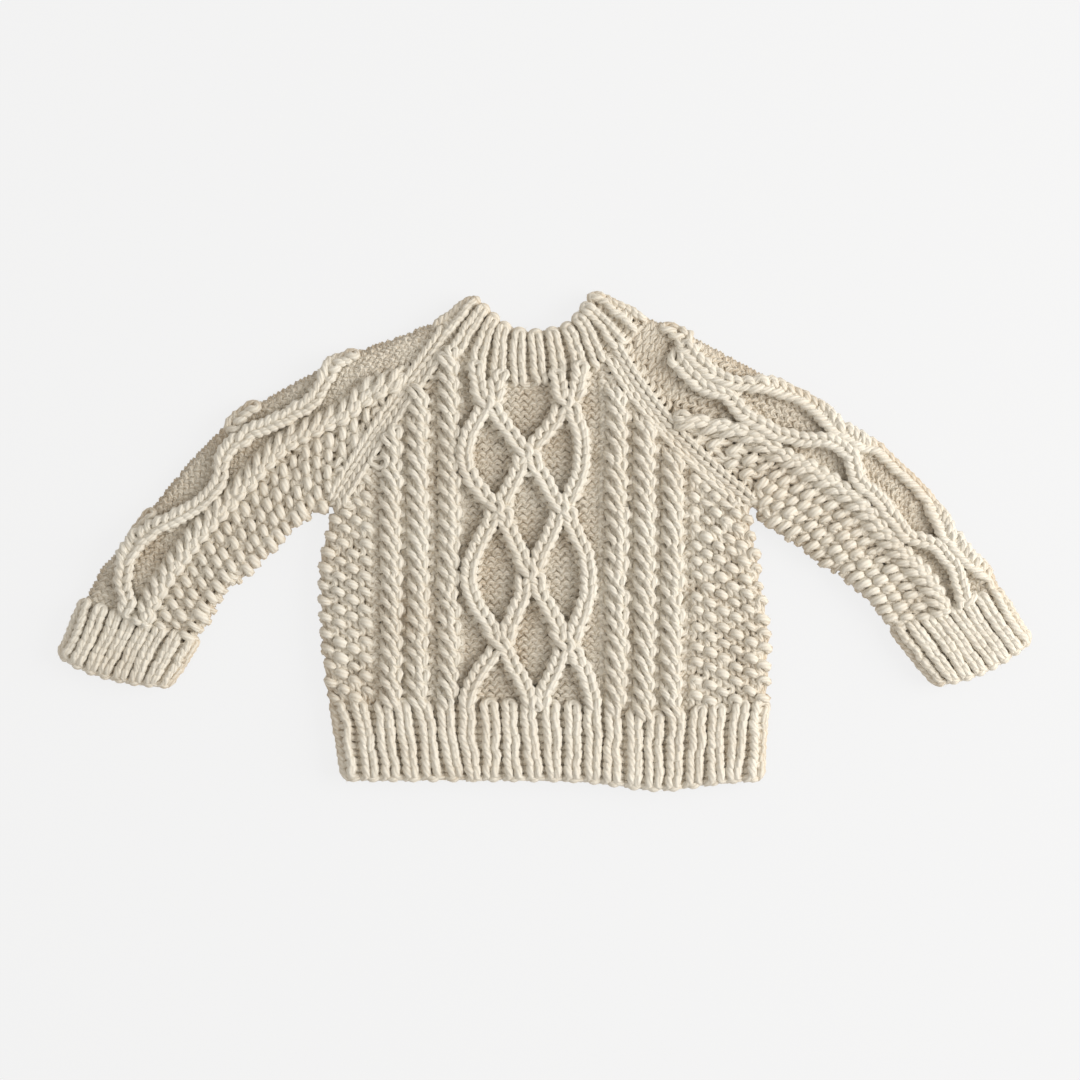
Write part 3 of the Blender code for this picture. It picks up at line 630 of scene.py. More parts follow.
def lattice_lines(heights):
    """The four travelling wales of the front. Where two cross, one leans over the other."""
    node_rows = [int(np.argmin(np.abs(heights - y))) for y, _ in LATTICE_NODES[1:-1]]
    places = np.zeros((4, len(heights)))
    lifts, leans = np.full_like(places, LINE_LIFT), np.zeros_like(places)
    cords = np.full_like(places, np.nan)
    order = [0, 1, 2, 3]
    for row, y in enumerate(heights):
        slots = lattice_slots(y)
        crossings = []
        if row in node_rows:
            crossings = (0, 2) if node_rows.index(row) % 2 == 0 else (1,)
        for a in (0, 1, 2):
            middle, gap = slots[a:a + 2].mean(), slots[a + 1] - slots[a]
            if a not in crossings and gap < CROSSING_GAP:
                slots[a:a + 2] = middle - 0.5 * CROSSING_GAP, middle + 0.5 * CROSSING_GAP
        for a in crossings:
            middle = slots[a:a + 2].mean()
            over, under = order[a + 1], order[a]
            slots[a:a + 2] = middle - ROPE_FIRST, middle + ROPE_FIRST
            pair = ((over, LINE_OVER, -LINE_LEAN), (under, LINE_UNDER, LINE_LEAN))
            for wale, lift, lean in pair:
                lifts[wale, row] += lift
                leans[wale, row] = lean
                cords[wale, row] = middle
            order[a], order[a + 1] = over, under
        places[order, row] = slots
    return [
        {**travelling_wale(place, np.where(np.isfinite(cord), lean, np.nan)), "lift": lift,
         "cord": np.where(np.isfinite(cord), cord, place),
         "tall": np.where(np.isfinite(cord) & (lean < 0.0), ROPE_OVER_TALL, 1.0)}
        for place, lift, lean, cord in zip(places, lifts, leans, cords)
    ]


def travelling_wale(place, lean=np.nan):
    """A raised wale that leans the way it travels, and is the wider across the more it leans."""
    travel = np.clip(np.nan_to_num(np.gradient(place)), -MOST_LEAN, MOST_LEAN)
    lean = np.where(np.isfinite(lean), lean, travel)
    return {"place": place, "cord": place, "lean": lean, "flare": LINE_FLARE, "girth": LINE_GIRTH,
            "wide": LINE_WIDTH * np.sqrt(1.0 + (lean / ROW) ** 2)}


print("the lattice's lines meet at", len(LATTICE_NODES), "heights")

# %% [markdown]
# ## The front's chart
#
# From the left: seed stitch, three ropes with a purl wale between them, the lattice, three ropes,
# and seed stitch. Above the underarm a chain of knit stitches follows each raglan seam, and the
# wales beside it end under it, one by one. That is what a decrease does.

# %% Front and back chart
CHAIN_PLACE = 3.7  # from a raglan seam to the middle of the chain beside it
CHAIN_LIFT = 1.6
CHAIN_WIDTH = 7.2
CHAIN_GIRTH = 0.88
CHAIN_FLARE = 0.85
CHAIN_ROOM = 4.2
SEEDS_LEFT, SEEDS_RIGHT = 4, 6
ROPE_PURLS = (-92.8, -77.0, -61.3, -45.6, 31.2, 46.3, 61.5, 77.6)
ROPE_PURL_SINK = -1.7
PURL_WIDTH = 3.0
GROUND_SINK = -1.9
CHAIN_PAST, NECK_PAST = 1.0, -0.8 * ROW  # how far a chain and a wale go past the neck seam
SEED_LEFT_END, SEED_RIGHT_START = -94.6, 79.4


def add_seeds(chart, start, pitch, count, first=0, end=np.inf):
    """Wales of seed stitch from a place on, each as wide as the pitch."""
    for k in range(count):
        place = start + (k + 0.5) * pitch
        chart.add(place=np.where(place < end, place, np.nan), wide=pitch,
                  kind=seed_stitch(chart.rows, k + first))


def add_ground(chart, height, lines, count, low, high):
    """Sunken purl wales behind raised lines. lines, low and high have an entry for each row."""
    ground = [under_lines(line, count, a, b) for line, a, b in zip(lines, low, high)]
    sunk = [GROUND_SINK + pressed(g[0], line) for g, line in zip(ground, lines)]
    for k in range(count):
        chart.add(place=[g[0][k] for g in ground], kind=PURL, wide=[g[1] for g in ground],
                  lift=[height * sink[k] for sink in sunk], girth=GROUND_GIRTH)


def insert_chain(chart, height, place):
    """A knit chain beside a raglan seam."""
    chart.insert(place=place, cord=place, lift=height * CHAIN_LIFT, wide=CHAIN_WIDTH,
                 girth=CHAIN_GIRTH, flare=CHAIN_FLARE, lean=np.nan_to_num(np.gradient(place)))


def edge_places(cloth, rows):
    """The places of the left and the right edge of a cloth at some rows."""
    return np.transpose([cloth.edges(r) for r in rows])


def body_chart(height, seed):
    """The chart of the front, or with less height in its relief that of the back."""
    chart = Chart(BODY_ROWS)
    rows = np.arange(BODY_ROWS)
    heights = HEM_TOP + (rows + 0.5) * ROW
    low, high = edge_places(body, np.minimum(rows, UNDERARM_ROW - 1.0))
    add_seeds(chart, low, (SEED_LEFT_END - low) / SEEDS_LEFT, SEEDS_LEFT)
    add_seeds(chart, SEED_RIGHT_START, (high - SEED_RIGHT_START) / SEEDS_RIGHT, SEEDS_RIGHT, 1)
    for x in ROPE_PURLS:
        chart.add(place=x, kind=PURL, lift=ROPE_PURL_SINK * height, wide=PURL_WIDTH)
    wales = [wale for centre in ROPE_CENTRES for wale in rope(BODY_ROWS, centre)]
    lines = lattice_lines(heights)
    for wale in wales + lines:
        chart.add(**{**wale, "lift": height * wale["lift"]})
    lines = np.transpose([line["place"] for line in lines])
    low, high = (np.full(BODY_ROWS, place) for place in LATTICE)
    add_ground(chart, height, lines, LATTICE_PURLS, low, high)
    chart.close(seed, SWAY)

    left, right = edge_places(body, rows)
    above = rows > UNDERARM_ROW
    room = CHAIN_PLACE + CHAIN_ROOM
    chart.place[((chart.place < left + room) | (chart.place > right - room)) & above] = np.nan
    chart.place[heights + NECK_PAST > neck_y(chart.place)] = np.nan
    for edge in (left + CHAIN_PLACE, right - CHAIN_PLACE):
        below = heights < neck_y(edge) + CHAIN_PAST
        insert_chain(chart, height, np.where(above & below, edge, np.nan))
    return chart


front_chart = body_chart(relief(1), 1)
back_chart = body_chart(relief(-1), 2)
print("front:", int(np.isfinite(front_chart.place).sum()), "stitches")

# %% [markdown]
# ## The sleeves' charts
#
# A sleeve has a purl ground with travelling lines next to its fold, then one rope, then seed
# stitch to the under edge. The lines and the rope are drawn as they run over the sleeve, so the
# chart has to find where each of them crosses each row of knitting.

# %% Lines on the sleeves
SLEEVE_LINES = {
    "left": {
        "rope": ((-95.0, 84.0), (-109.5, 71.5), (-140.8, 54.5), (-169.4, 25.9), (-193.6, -0.6),
                 (-214.5, -31.9), (-222.0, -46.0)),
        "lines": (
            ((-158.4, 76.5), (-164.5, 71.0), (-168.3, 64.4), (-171.0, 57.8)),
            ((-212.3, 25.9), (-216.7, 20.4), (-220.0, 12.7), (-222.5, 5.0)),
            ((-102.3, 105.6), (-110.6, 100.1), (-117.7, 91.9), (-122.1, 83.1), (-128.7, 74.8),
             (-138.1, 68.8), (-151.8, 63.3), (-163.9, 58.3), (-171.1, 51.7), (-176.0, 40.7),
             (-177.7, 31.4), (-183.7, 23.1), (-193.1, 17.1), (-203.5, 11.0), (-213.4, 6.1),
             (-222.2, -1.7), (-228.3, -11.6), (-229.4, -22.6), (-227.2, -33.6), (-225.5, -42.0)),
        ),
    },
    "right": {
        "rope": ((55.0, 74.0), (73.7, 65.5), (105.6, 58.9), (132.6, 42.9), (167.2, 22.0),
                 (188.1, -2.2), (207.4, -23.7), (218.9, -44.6)),
        "lines": (
            ((70.0, 100.0), (79.2, 91.9), (99.6, 78.1), (109.5, 67.1), (139.7, 55.6),
             (162.8, 53.9), (196.4, 40.2), (207.4, 25.3), (220.0, -5.5), (230.2, -42.0)),
            ((64.0, 120.0), (71.5, 112.2), (91.3, 85.8), (118.3, 84.2), (136.4, 78.1),
             (162.8, 53.9), (172.7, 27.0), (189.8, 6.1), (220.0, -5.5), (251.4, -29.0)),
        ),
    },
}
print({side: 1 + len(table["lines"]) for side, table in SLEEVE_LINES.items()}, "raised lines")

# %% Sleeve charts
SLEEVE_PURLS = 6
SEED_PITCH = 7.4
LINE_GAP = 8.0  # between two lines that meet
FOLD_ROOM = 9.0  # a line flattens so near to the fold
FOLD_LIFT = 0.2  # the share of its lift that a line keeps there
LINE_ROOM = (2.0, 3.0)  # between the lines and the fold, and between them and the rope's edge
SEED_START, SEED_END = 0.5, 0.3  # from the rope's edge, and pitches from the under edge
SLEEVE_ROPE = 1.12  # how much fuller the rope of a sleeve is
NEAR_MISS = 0.05  # of a row's length, by which a line may cross it beyond its ends


def crossing(cloth, line, v):
    """Where a line drawn on the garment crosses row v, in from the fold, or nan."""
    a, b = cloth.plan(np.array([0.0, 1.0]), np.array([v, v]))
    run = b - a
    offset = (line[:, 0] - a[0]) * run[1] - (line[:, 1] - a[1]) * run[0]
    hits = np.flatnonzero(offset[:-1] * offset[1:] <= 0.0)
    for k in hits:
        t = offset[k] / (offset[k] - offset[k + 1] + 1e-9)
        spot = line[k] + t * (line[k + 1] - line[k])
        share = (spot - a) @ run / (run @ run)
        if -NEAR_MISS < share < 1.0 + NEAR_MISS:
            return share * float(cloth.width(v)) + EDGE_SLACK
    return np.nan


def apart(lines, most):
    """Keeps lines that meet apart and in the same order, and off the fold and the rope."""
    lines = np.clip(lines, LINE_ROOM[0], most)
    for r in range(lines.shape[1]):
        here = np.flatnonzero(np.isfinite(lines[:, r]))
        lines[here, r] = np.sort(lines[here, r])
        for a, b in zip(here[:-1], here[1:]):
            short = LINE_GAP - (lines[b, r] - lines[a, r])
            if short > 0:
                lines[a, r] -= 0.5 * short
                lines[b, r] += 0.5 * short
    return lines


def sleeve_chart(side, height, seed):
    """The chart of the upper half of a sleeve, or with less height that of its underside."""
    cloth = sleeves[side]
    rows = np.arange(SLEEVE_ROWS + RAGLAN_ROWS)
    hand = 1.0 if side == "left" else -1.0
    chart = Chart(len(rows), hand)

    def crossings(points):
        line = smooth_line(points)
        return np.array([crossing(cloth, line, r) for r in rows])

    full = edge_places(cloth, np.minimum(rows, SLEEVE_ROWS - 1.0))[1]
    centre = crossings(SLEEVE_LINES[side]["rope"])
    known = np.isfinite(centre)
    centre = np.interp(rows, rows[known], centre[known])
    rope_edge = centre - ROPE_EDGE
    for wale in rope(len(rows), centre, hand):
        chart.add(**{**wale, "lift": height * wale["lift"], "girth": SLEEVE_ROPE * wale["girth"]})
    lines = [crossings(points) for points in SLEEVE_LINES[side]["lines"]]
    lines = apart(np.array(lines), rope_edge - LINE_ROOM[1])
    for place in lines:
        lift = LINE_LIFT * (FOLD_LIFT + (1.0 - FOLD_LIFT) * ease(place / FOLD_ROOM))
        chart.add(**travelling_wale(place), lift=height * lift)
    start = centre + ROPE_EDGE + SEED_START
    count = int((full - start).max() / SEED_PITCH)
    add_seeds(chart, start, SEED_PITCH, count, end=full - SEED_END * SEED_PITCH)
    over = [lines[np.isfinite(lines[:, r]), r] for r in rows]
    add_ground(chart, height, over, SLEEVE_PURLS, np.zeros(len(rows)), rope_edge)
    chart.close(seed, SWAY)

    right = edge_places(cloth, rows)[1]
    above = rows >= SLEEVE_ROWS
    chart.place[(chart.place > right - CHAIN_PLACE - CHAIN_ROOM) & above] = np.nan
    insert_chain(chart, height, np.where(above, right - CHAIN_PLACE, np.nan))
    return chart


sleeve_charts = {(side, face): sleeve_chart(side, relief(face), 3)
                 for side in ("left", "right") for face in (1, -1)}
print("sleeves:", [int(np.isfinite(c.place).sum()) for c in sleeve_charts.values()], "stitches")

# %% [markdown]
# ## Ribbing
#
# Knit one, purl one draws itself together: the knit wales stand up and close over the purl ones,
# which is why a hem or a cuff is narrower and springier than the cloth beside it.

# %% Rib charts
BOTTOM_EDGE = (-0.75, -1.0)  # the row of a rolled edge, and its way out
HEM_BAND = {"ribs": 21, "seed": 5, "girth": 1.2, "edge": BOTTOM_EDGE}
CUFF_BAND = {"ribs": 8, "seed": 6, "girth": 1.1, "edge": BOTTOM_EDGE}
NECK_PULL = (0.14, -0.15)
NECK_BAND = {"ribs": 11, "seed": 7, "girth": 1.06, "pull": NECK_PULL,
             "edge": (NECK_ROWS - 0.3, 1.0, NECK_PULL[1], 1.25)}
RIB_KNIT = 0.80  # the share of a rib's width that its knit wale takes
RIB_FLARE = 0.62
RIB_TRIM = 0.3  # of a rib, which the two edges of a ribbed cloth are short of
RIB_START = 0.5 * (1.0 - RIB_TRIM)
RIB_LIFT, RIB_SINK = 1.8, -2.8
RIB_SWAY = 0.05  # of a stitch to either side, in ribs


def drawn_in(share, pull):
    """Shares of a width, drawn together in its middle, or spread there where pull is negative."""
    return share + pull / (2.0 * math.pi) * np.sin(2.0 * math.pi * share)


def rib_chart(rows, ribs, height, seed, girth=1.0, pull=(0.0, 0.0)):
    """Knit one, purl one, with a knit wale at each edge. Places are shares of the width."""
    chart = Chart(rows)
    pulls = np.linspace(*pull, rows)
    for k in range(2 * ribs - 1):
        place = drawn_in((k / 2 + RIB_START) / (ribs - RIB_TRIM), pulls)
        if k % 2 == 0:
            chart.add(place=place, kind=KNIT, lift=RIB_LIFT * height, wide=RIB_KNIT,
                      flare=RIB_FLARE, girth=girth)
        else:
            chart.add(place=place, kind=PURL, lift=RIB_SINK * height, wide=1.0 - RIB_KNIT)
    return chart.close(seed, RIB_SWAY / ribs)


print(f"a rib of the hem is {hem.width(0) / HEM_BAND['ribs']:.1f} mm wide")

# %% Rolled edges
ROLL_DIP = 0.28  # of a row, by which a rolled edge comes in between two ribs
ROLL_LIFT, ROLL_SINK = 1.3, 0.6
ROLL_FULLER = 0.12  # how much fuller its yarn is over a rib


def edge_roll(cloth, ribs, face, row, outward, pull=0.0, girth=1.0):
    """The outermost row of a ribbed edge: it rolls over the end of each rib, and dips between."""
    share = np.linspace(0.0, 1.0, 10 * ribs + 1)
    wave = np.cos(2.0 * math.pi * ((ribs - RIB_TRIM) * share - RIB_START))
    wave *= relief(face)
    rows = row + ROLL_DIP * outward * wave
    along = drawn_in(share, pull) * cloth.unrolled(rows)
    thick = girth * (1.0 + ROLL_FULLER * wave)
    points = cloth.place(along, rows, ROLL_LIFT * wave - ROLL_SINK, face, thick)
    return [np.column_stack([points, thick])]


print(f"a rolled edge dips {ROLL_LIFT:.1f} mm between two ribs")

# %% [markdown]
# ## Bending the yarn
#
# A loop is a closed formula: the yarn goes across at an even pace while it swings up and down
# once and to the front and back twice. A knit loop has its legs in front. Its head lies behind
# the next stitch if that is knit, and in front of it if that is purl. The feet are shared with
# the neighbours, so each stitch meets the next one half way.

# %% Loops
LOOP_REACH = 0.88  # half the height of a loop, in rows: over 0.5, so that rows interlock
LOOP_BULGE = 0.50  # how much a loop is wider at its head than at its feet
PEARL_BULGE = 0.60  # a purl bump over a knit stitch is drawn closed: so much of that bulge
PEARL_LIFT, PEARL_GIRTH = 1.3, 0.18  # and stands out, and is fatter
PEARL_DROP = 0.30  # and is pulled down over its own legs, in rows
PEARL_TILT = 0.26  # and hangs lower at its right end, in rows
PEARL_LEGS = 0.15  # and hides its legs: so much of their swing is left
SWING = 1.15  # how far the yarn swings to the front and to the back of the cloth
SLIM_WIDTH = 5.0
SLIM_SKIPS = (1, 4, 8, 11)  # points that a purl stitch narrower than that does without
JUMP = 12.0  # a loop doesn't reach for a stitch of the next row that is further off than this
LAST_HALF = 1.6  # how far the yarn goes past the last stitch, in its half widths
FADE_START = 0.45  # of the way to a stitch's end, where it begins to turn to the next stitch
ROUND_MOST = 1.5


def blended_ends(values, fade):
    """Makes each stitch end where the next one starts. values has a line for each stitch."""
    meet = 0.5 * (values[:-1, -1] + values[1:, 0])
    before, after = meet - values[:-1, -1], meet - values[1:, 0]
    values[:-1] += before[:, None] * fade[None, :]
    values[1:] += after[:, None] * fade[None, ::-1]
    return values


def stitch_joins(cloth, r, place, wide):
    """Where the stitches of a run meet, and half of the width of each."""
    low, high = cloth.edges(r)
    joins = place[:-1] + wide[:-1] / (wide[:-1] + wide[1:]) * np.diff(place)
    full = 1.0 if cloth.measure != "share" else 2.0 * float(np.mean(np.diff(joins)))
    half = 0.5 * wide * full
    first = max(low, place[0] - LAST_HALF * half[0])
    last = min(high, place[-1] + LAST_HALF * half[-1])
    return np.concatenate([[first], joins, [last]]), half[:, None]


def run_yarn(cloth, chart, r, run, face, steps, unit):
    """The path of the yarn through a run of neighbouring stitches: a line of points for each."""
    t = np.linspace(-math.pi, math.pi, steps + 1)
    fade = ease((t / math.pi - FADE_START) / (1.0 - FADE_START))
    rows = (r, min(r + 1, chart.rows - 1), max(r - 1, 0))
    now, up, down = (
        {name: getattr(chart, name)[run, row][:, None] for name in chart.columns} for row in rows)
    # Where no stitch is above or below, the yarn bends as if one like this were there.
    for other in (up, down):
        gone = np.isnan(other["place"]) | (np.abs(other["place"] - now["place"]) > JUMP * unit)
        other.update({name: np.where(gone, now[name], other[name]) for name in other})
    reach = LOOP_REACH * now["tall"] * np.cos(t)

    def towards_next(name):
        """A value that goes over into that of the row above, and of the row below."""
        return now[name] + np.abs(reach) * (np.where(reach > 0, up[name], down[name]) - now[name])

    def along_run(values):
        return blended_ends(values + np.zeros((len(run), steps + 1)), fade)

    place = now["place"][:, 0]
    joins, half_wide = stitch_joins(cloth, r, place, now["wide"][:, 0])
    roped = np.isfinite(now["cord"])
    centre = np.where(roped, now["place"] + reach * now["lean"], towards_next("place"))
    half = np.where(t < 0, (place - joins[:-1])[:, None], (joins[1:] - place)[:, None])
    half = np.where(roped, half_wide, half)
    pearl = ((now["kind"] > 0) & (up["kind"] < 0)).astype(float)
    crown = np.maximum(np.cos(t), 0.0)
    head = np.abs(t) < 0.5 * math.pi
    bulge = half_wide * LOOP_BULGE * now["flare"] * (1.0 - (1.0 - PEARL_BULGE) * pearl)
    across = centre + half * (t / math.pi) + bulge * np.sin(2.0 * t)
    legs = 0.5 * (1.0 - np.cos(2.0 * t))
    bends = np.where(head, up["kind"], along_run(now["kind"])) * (1.0 - legs)
    legs = legs * (1.0 - (1.0 - PEARL_LEGS) * pearl)
    swing = SWING * (now["kind"] * legs - bends) + PEARL_LIFT * pearl * crown
    cord = np.nan_to_num((across - now["cord"]) / ROPE_EDGE)
    swing = swing - ROPE_ROUND * np.minimum(cord**2, ROUND_MOST)
    right_end = chart.hand * np.where(head, np.sin(2.0 * t), 0.0)
    girth = now["girth"] + PEARL_GIRTH * pearl * crown * (1.0 + 0.5 * right_end)
    rows = r + reach + along_run(now["rise"])
    rows -= pearl * (PEARL_DROP * crown**2 + PEARL_TILT * right_end)
    # A stitch's last point is the first of the next one, so it is left out.
    kept = np.ones((len(run), steps), bool)
    if steps > SLIM_SKIPS[-1]:
        slim = (now["kind"] < 0) & (now["wide"] < SLIM_WIDTH)
        kept[np.ix_(slim[:, 0], SLIM_SKIPS)] = False
    across, rows, height, girth = (
        np.append(values[:, :-1][kept], values[-1, -1])
        for values in (along_run(across), rows, along_run(towards_next("lift")) + swing, girth))
    points = cloth.place(cloth.across(across, rows), rows, height, face, girth)
    return np.column_stack([points, girth])


print(f"a loop is {2 * LOOP_REACH * ROW:.1f} mm tall, in rows of {ROW} mm")

# %% Rows of yarn
BREAK = 15.0  # the yarn of a row ends where the next stitch is further off than this


def row_yarn(cloth, chart, r, face, steps):
    """The paths of the yarn along one row: one path for each unbroken run of stitches."""
    place = chart.place[:, r]
    here = np.flatnonzero(np.isfinite(place))
    here = here[np.argsort(place[here])]
    if len(here) < 2:
        return []
    unit = 1.0 if cloth.measure != "share" else 1.0 / float(cloth.unrolled(r))
    breaks = np.flatnonzero(np.diff(place[here]) > BREAK * unit) + 1
    runs = [run for run in np.split(here, breaks) if len(run) > 1]
    return [run_yarn(cloth, chart, r, run, face, steps, unit) for run in runs]


def knitted(cloth, chart, face, steps, rows=None):
    """All yarn paths of a layer of cloth."""
    rows = rows or range(chart.rows)
    return [path for r in rows for path in row_yarn(cloth, chart, r, face, steps)]


first_row = row_yarn(body, front_chart, 0, 1, 12)
print("first row of the front:", sum(len(path) for path in first_row), "points")

# %% [markdown]
# ## From path to yarn
#
# Geometry Nodes turn the paths into yarn: each path becomes a curve, a round profile is swept
# along it, and each point of the skin remembers where it is round the yarn and along it, so that
# the material can twist its plies. Loose fibres stand off the skin: they are scattered over it
# from a fixed seed, and are what makes wool look soft.

# %% Nodes
def node(tree, kind, inputs=None, **settings):
    """A new node. An input is linked where it is given a socket, and else gets the value."""
    made = tree.nodes.new(kind)
    for name, value in settings.items():
        setattr(made, name, value)
    for name, value in (inputs or {}).items():
        if isinstance(value, bpy.types.NodeSocket):
            tree.links.new(value, made.inputs[name])
        else:
            made.inputs[name].default_value = value
    return made


def maths(tree, operation, *values):
    """The result of a math node of some values or sockets."""
    return node(tree, "ShaderNodeMath", dict(enumerate(values)), operation=operation).outputs[0]


def captured(tree, geometry, kind, name, value):
    """Remembers a value on a geometry, and gives both."""
    made = node(tree, "GeometryNodeCaptureAttribute")
    made.capture_items.new(kind, name)
    tree.links.new(geometry, made.inputs["Geometry"])
    tree.links.new(value, made.inputs[name])
    return made.outputs["Geometry"], made.outputs[name]


# %% Yarn node tree
YARN_SOCKETS = {
    "Paths": "Geometry", "Yarn radius": "Float", "Sides": "Int", "Unevenness": "Float",
    "Fibres per square metre": "Float", "Fibre length": "Float", "Seed": "Int",
    "Wool": "Material", "Fibre": "Material",
}
UNEVEN_SCALE = 160.0  # per metre
FIBRE_RADIUS = 0.075 * MM
FIBRE_TILT = (1.25, 1.25)  # radians, either way
FIBRE_SIZES = (0.5, 1.2)  # of the fibre length


def yarn_tree():
    """Paths in, yarn with loose fibres out."""
    tree = bpy.data.node_groups.new("yarn along paths", "GeometryNodeTree")
    for name, kind in YARN_SOCKETS.items():
        tree.interface.new_socket(name, in_out="INPUT", socket_type=f"NodeSocket{kind}")
    tree.interface.new_socket("Yarn", in_out="OUTPUT", socket_type="NodeSocketGeometry")
    given = node(tree, "NodeGroupInput").outputs

    curve = node(tree, "GeometryNodeMeshToCurve", {"Mesh": given["Paths"]})
    noise = node(tree, "ShaderNodeTexNoise", {"Scale": UNEVEN_SCALE, "Detail": 1.0})
    girth = node(tree, "GeometryNodeInputNamedAttribute", {"Name": "girth"}, data_type="FLOAT")
    uneven = maths(tree, "MULTIPLY_ADD", noise.outputs["Fac"], given["Unevenness"], 1.0)
    sized = maths(tree, "MULTIPLY", uneven, girth.outputs["Attribute"])
    radius = maths(tree, "MULTIPLY", sized, given["Yarn radius"])
    length = node(tree, "GeometryNodeSplineParameter").outputs["Length"]
    paths, along = captured(tree, curve.outputs["Curve"], "FLOAT", "Along", length)
    circle = node(tree, "GeometryNodeCurvePrimitiveCircle",
                  {"Resolution": given["Sides"], "Radius": 1.0})
    place = node(tree, "GeometryNodeInputPosition").outputs["Position"]
    ring, around = captured(tree, circle.outputs["Curve"], "VECTOR", "Around", place)
    skin = node(tree, "GeometryNodeCurveToMesh", {
        "Curve": paths, "Profile Curve": ring, "Scale": radius, "Fill Caps": True})

    spot = node(tree, "ShaderNodeSeparateXYZ", {0: around}).outputs
    wrap = node(tree, "ShaderNodeCombineXYZ", {"X": spot["X"], "Y": spot["Y"], "Z": along})
    stored = node(tree, "GeometryNodeStoreNamedAttribute", {
        "Name": "wrap", "Geometry": skin.outputs["Mesh"], "Value": wrap.outputs[0]},
        data_type="FLOAT_VECTOR", domain="POINT").outputs["Geometry"]
    smooth = node(tree, "GeometryNodeSetShadeSmooth", {"Geometry": stored})
    wool = node(tree, "GeometryNodeSetMaterial", {
        "Geometry": smooth.outputs["Geometry"], "Material": given["Wool"]})

    scatter = node(tree, "GeometryNodeDistributePointsOnFaces", {
        "Mesh": stored, "Density": given["Fibres per square metre"], "Seed": given["Seed"]},
        distribute_method="RANDOM").outputs
    fibre = node(tree, "GeometryNodeMeshCone", {
        "Vertices": 3, "Radius Top": 0.0, "Radius Bottom": FIBRE_RADIUS,
        "Depth": given["Fibre length"]})
    tilt = node(tree, "FunctionNodeRandomValue", {
        "Min": (-FIBRE_TILT[0], -FIBRE_TILT[1], 0.0), "Max": (*FIBRE_TILT, 6.28),
        "Seed": given["Seed"]}, data_type="FLOAT_VECTOR")
    tilted = node(tree, "FunctionNodeEulerToRotation", {"Euler": tilt.outputs["Value"]})
    turned = node(tree, "FunctionNodeRotateRotation", {
        "Rotation": scatter["Rotation"], "Rotate By": tilted.outputs["Rotation"]},
        rotation_space="LOCAL")
    size = node(tree, "FunctionNodeRandomValue", {
        2: FIBRE_SIZES[0], 3: FIBRE_SIZES[1], "Seed": given["Seed"]}, data_type="FLOAT")
    fibres = node(tree, "GeometryNodeInstanceOnPoints", {
        "Points": scatter["Points"], "Instance": fibre.outputs["Mesh"],
        "Rotation": turned.outputs["Rotation"], "Scale": size.outputs["Value"]})
    real = node(tree, "GeometryNodeRealizeInstances", {"Geometry": fibres.outputs["Instances"]})
    pale = node(tree, "GeometryNodeSetMaterial", {
        "Geometry": real.outputs["Geometry"], "Material": given["Fibre"]})
    both = node(tree, "GeometryNodeJoinGeometry")
    for part in (wool, pale):
        tree.links.new(part.outputs["Geometry"], both.inputs[0])
    node(tree, "NodeGroupOutput", {"Yarn": both.outputs["Geometry"]})
    return tree


YARN_TREE = yarn_tree()
print("yarn tree:", len(YARN_TREE.nodes), "nodes")

# %% [markdown]
# ## Undyed wool
#
# Seen close, the yarn is five soft plies twisted round each other, with fine fibres running
# along them. Both come from where a point is round and along the yarn. The colour is cream and
# drifts slowly over the garment as a fleece does. Painted shade makes it darker and warmer
# between the plies and low in the knitting, and painted light makes it paler on the plies and the
# highest loops. Wool has next to no gloss: a soft sheen at grazing angles stands for its down.

# %% Wool material
# The warm and pale ends of this ramp hold painted shade and painted highlights as well as the
# wool's random tone.
CREAM = (0.695, 0.63, 0.525)
PALE_CREAM = (0.80, 0.765, 0.68)
WARM_CREAM = (0.52, 0.405, 0.275)
# Painted shade and light by height: the wool is darker and warmer the lower it lies, and paler on
# the highest loops.
VALLEY, CREST = 6.0 * MM, 15.5 * MM  # heights over which the wool turns from warm to pale
PLIES = 5
TWIST_PITCH = 24.0 * MM
PLY_SHAPE = 0.6  # under 1, so that plies are full and the grooves between them narrow
FIBRE_SCALE, FLEECE_SCALE = 4.2, 38.0  # of the noise round the yarn, and per metre of garment
# The plies' share of the tone is painted shade in the grooves between plies and a painted
# highlight on each ply; the fibre and fleece tones vary at random.
PLY_SHADE_TONE, FIBRE_TONE, FLEECE_TONE = 0.18, 0.34, 0.40  # what each adds to the tone
PAINTED_VALLEY_SHADE, PAINTED_CREST_LIGHT = -0.14, 0.15  # what depth and height add to it
FIBRE_RELIEF = 0.9  # of the relief of the plies
RELIEF = 0.28 * MM


def surfaced(name, values):
    """A material whose surface has some values, with its node tree and its surface's inputs."""
    material = bpy.data.materials.new(name)
    material.use_nodes = True
    surface = material.node_tree.nodes["Principled BSDF"].inputs
    for socket, value in values.items():
        surface[socket].default_value = value
    return material, material.node_tree, surface


def coloured(tree, value, low, high, *between):
    """A colour that runs through (place, colour) stops with a value."""
    made = node(tree, "ShaderNodeValToRGB", {"Fac": value})
    stops = made.color_ramp.elements
    for k, (place, colour) in enumerate((low, high)):
        stops[k].position, stops[k].color = place, (*colour, 1.0)
    for place, colour in between:
        stops.new(place).color = (*colour, 1.0)
    return made.outputs["Color"]


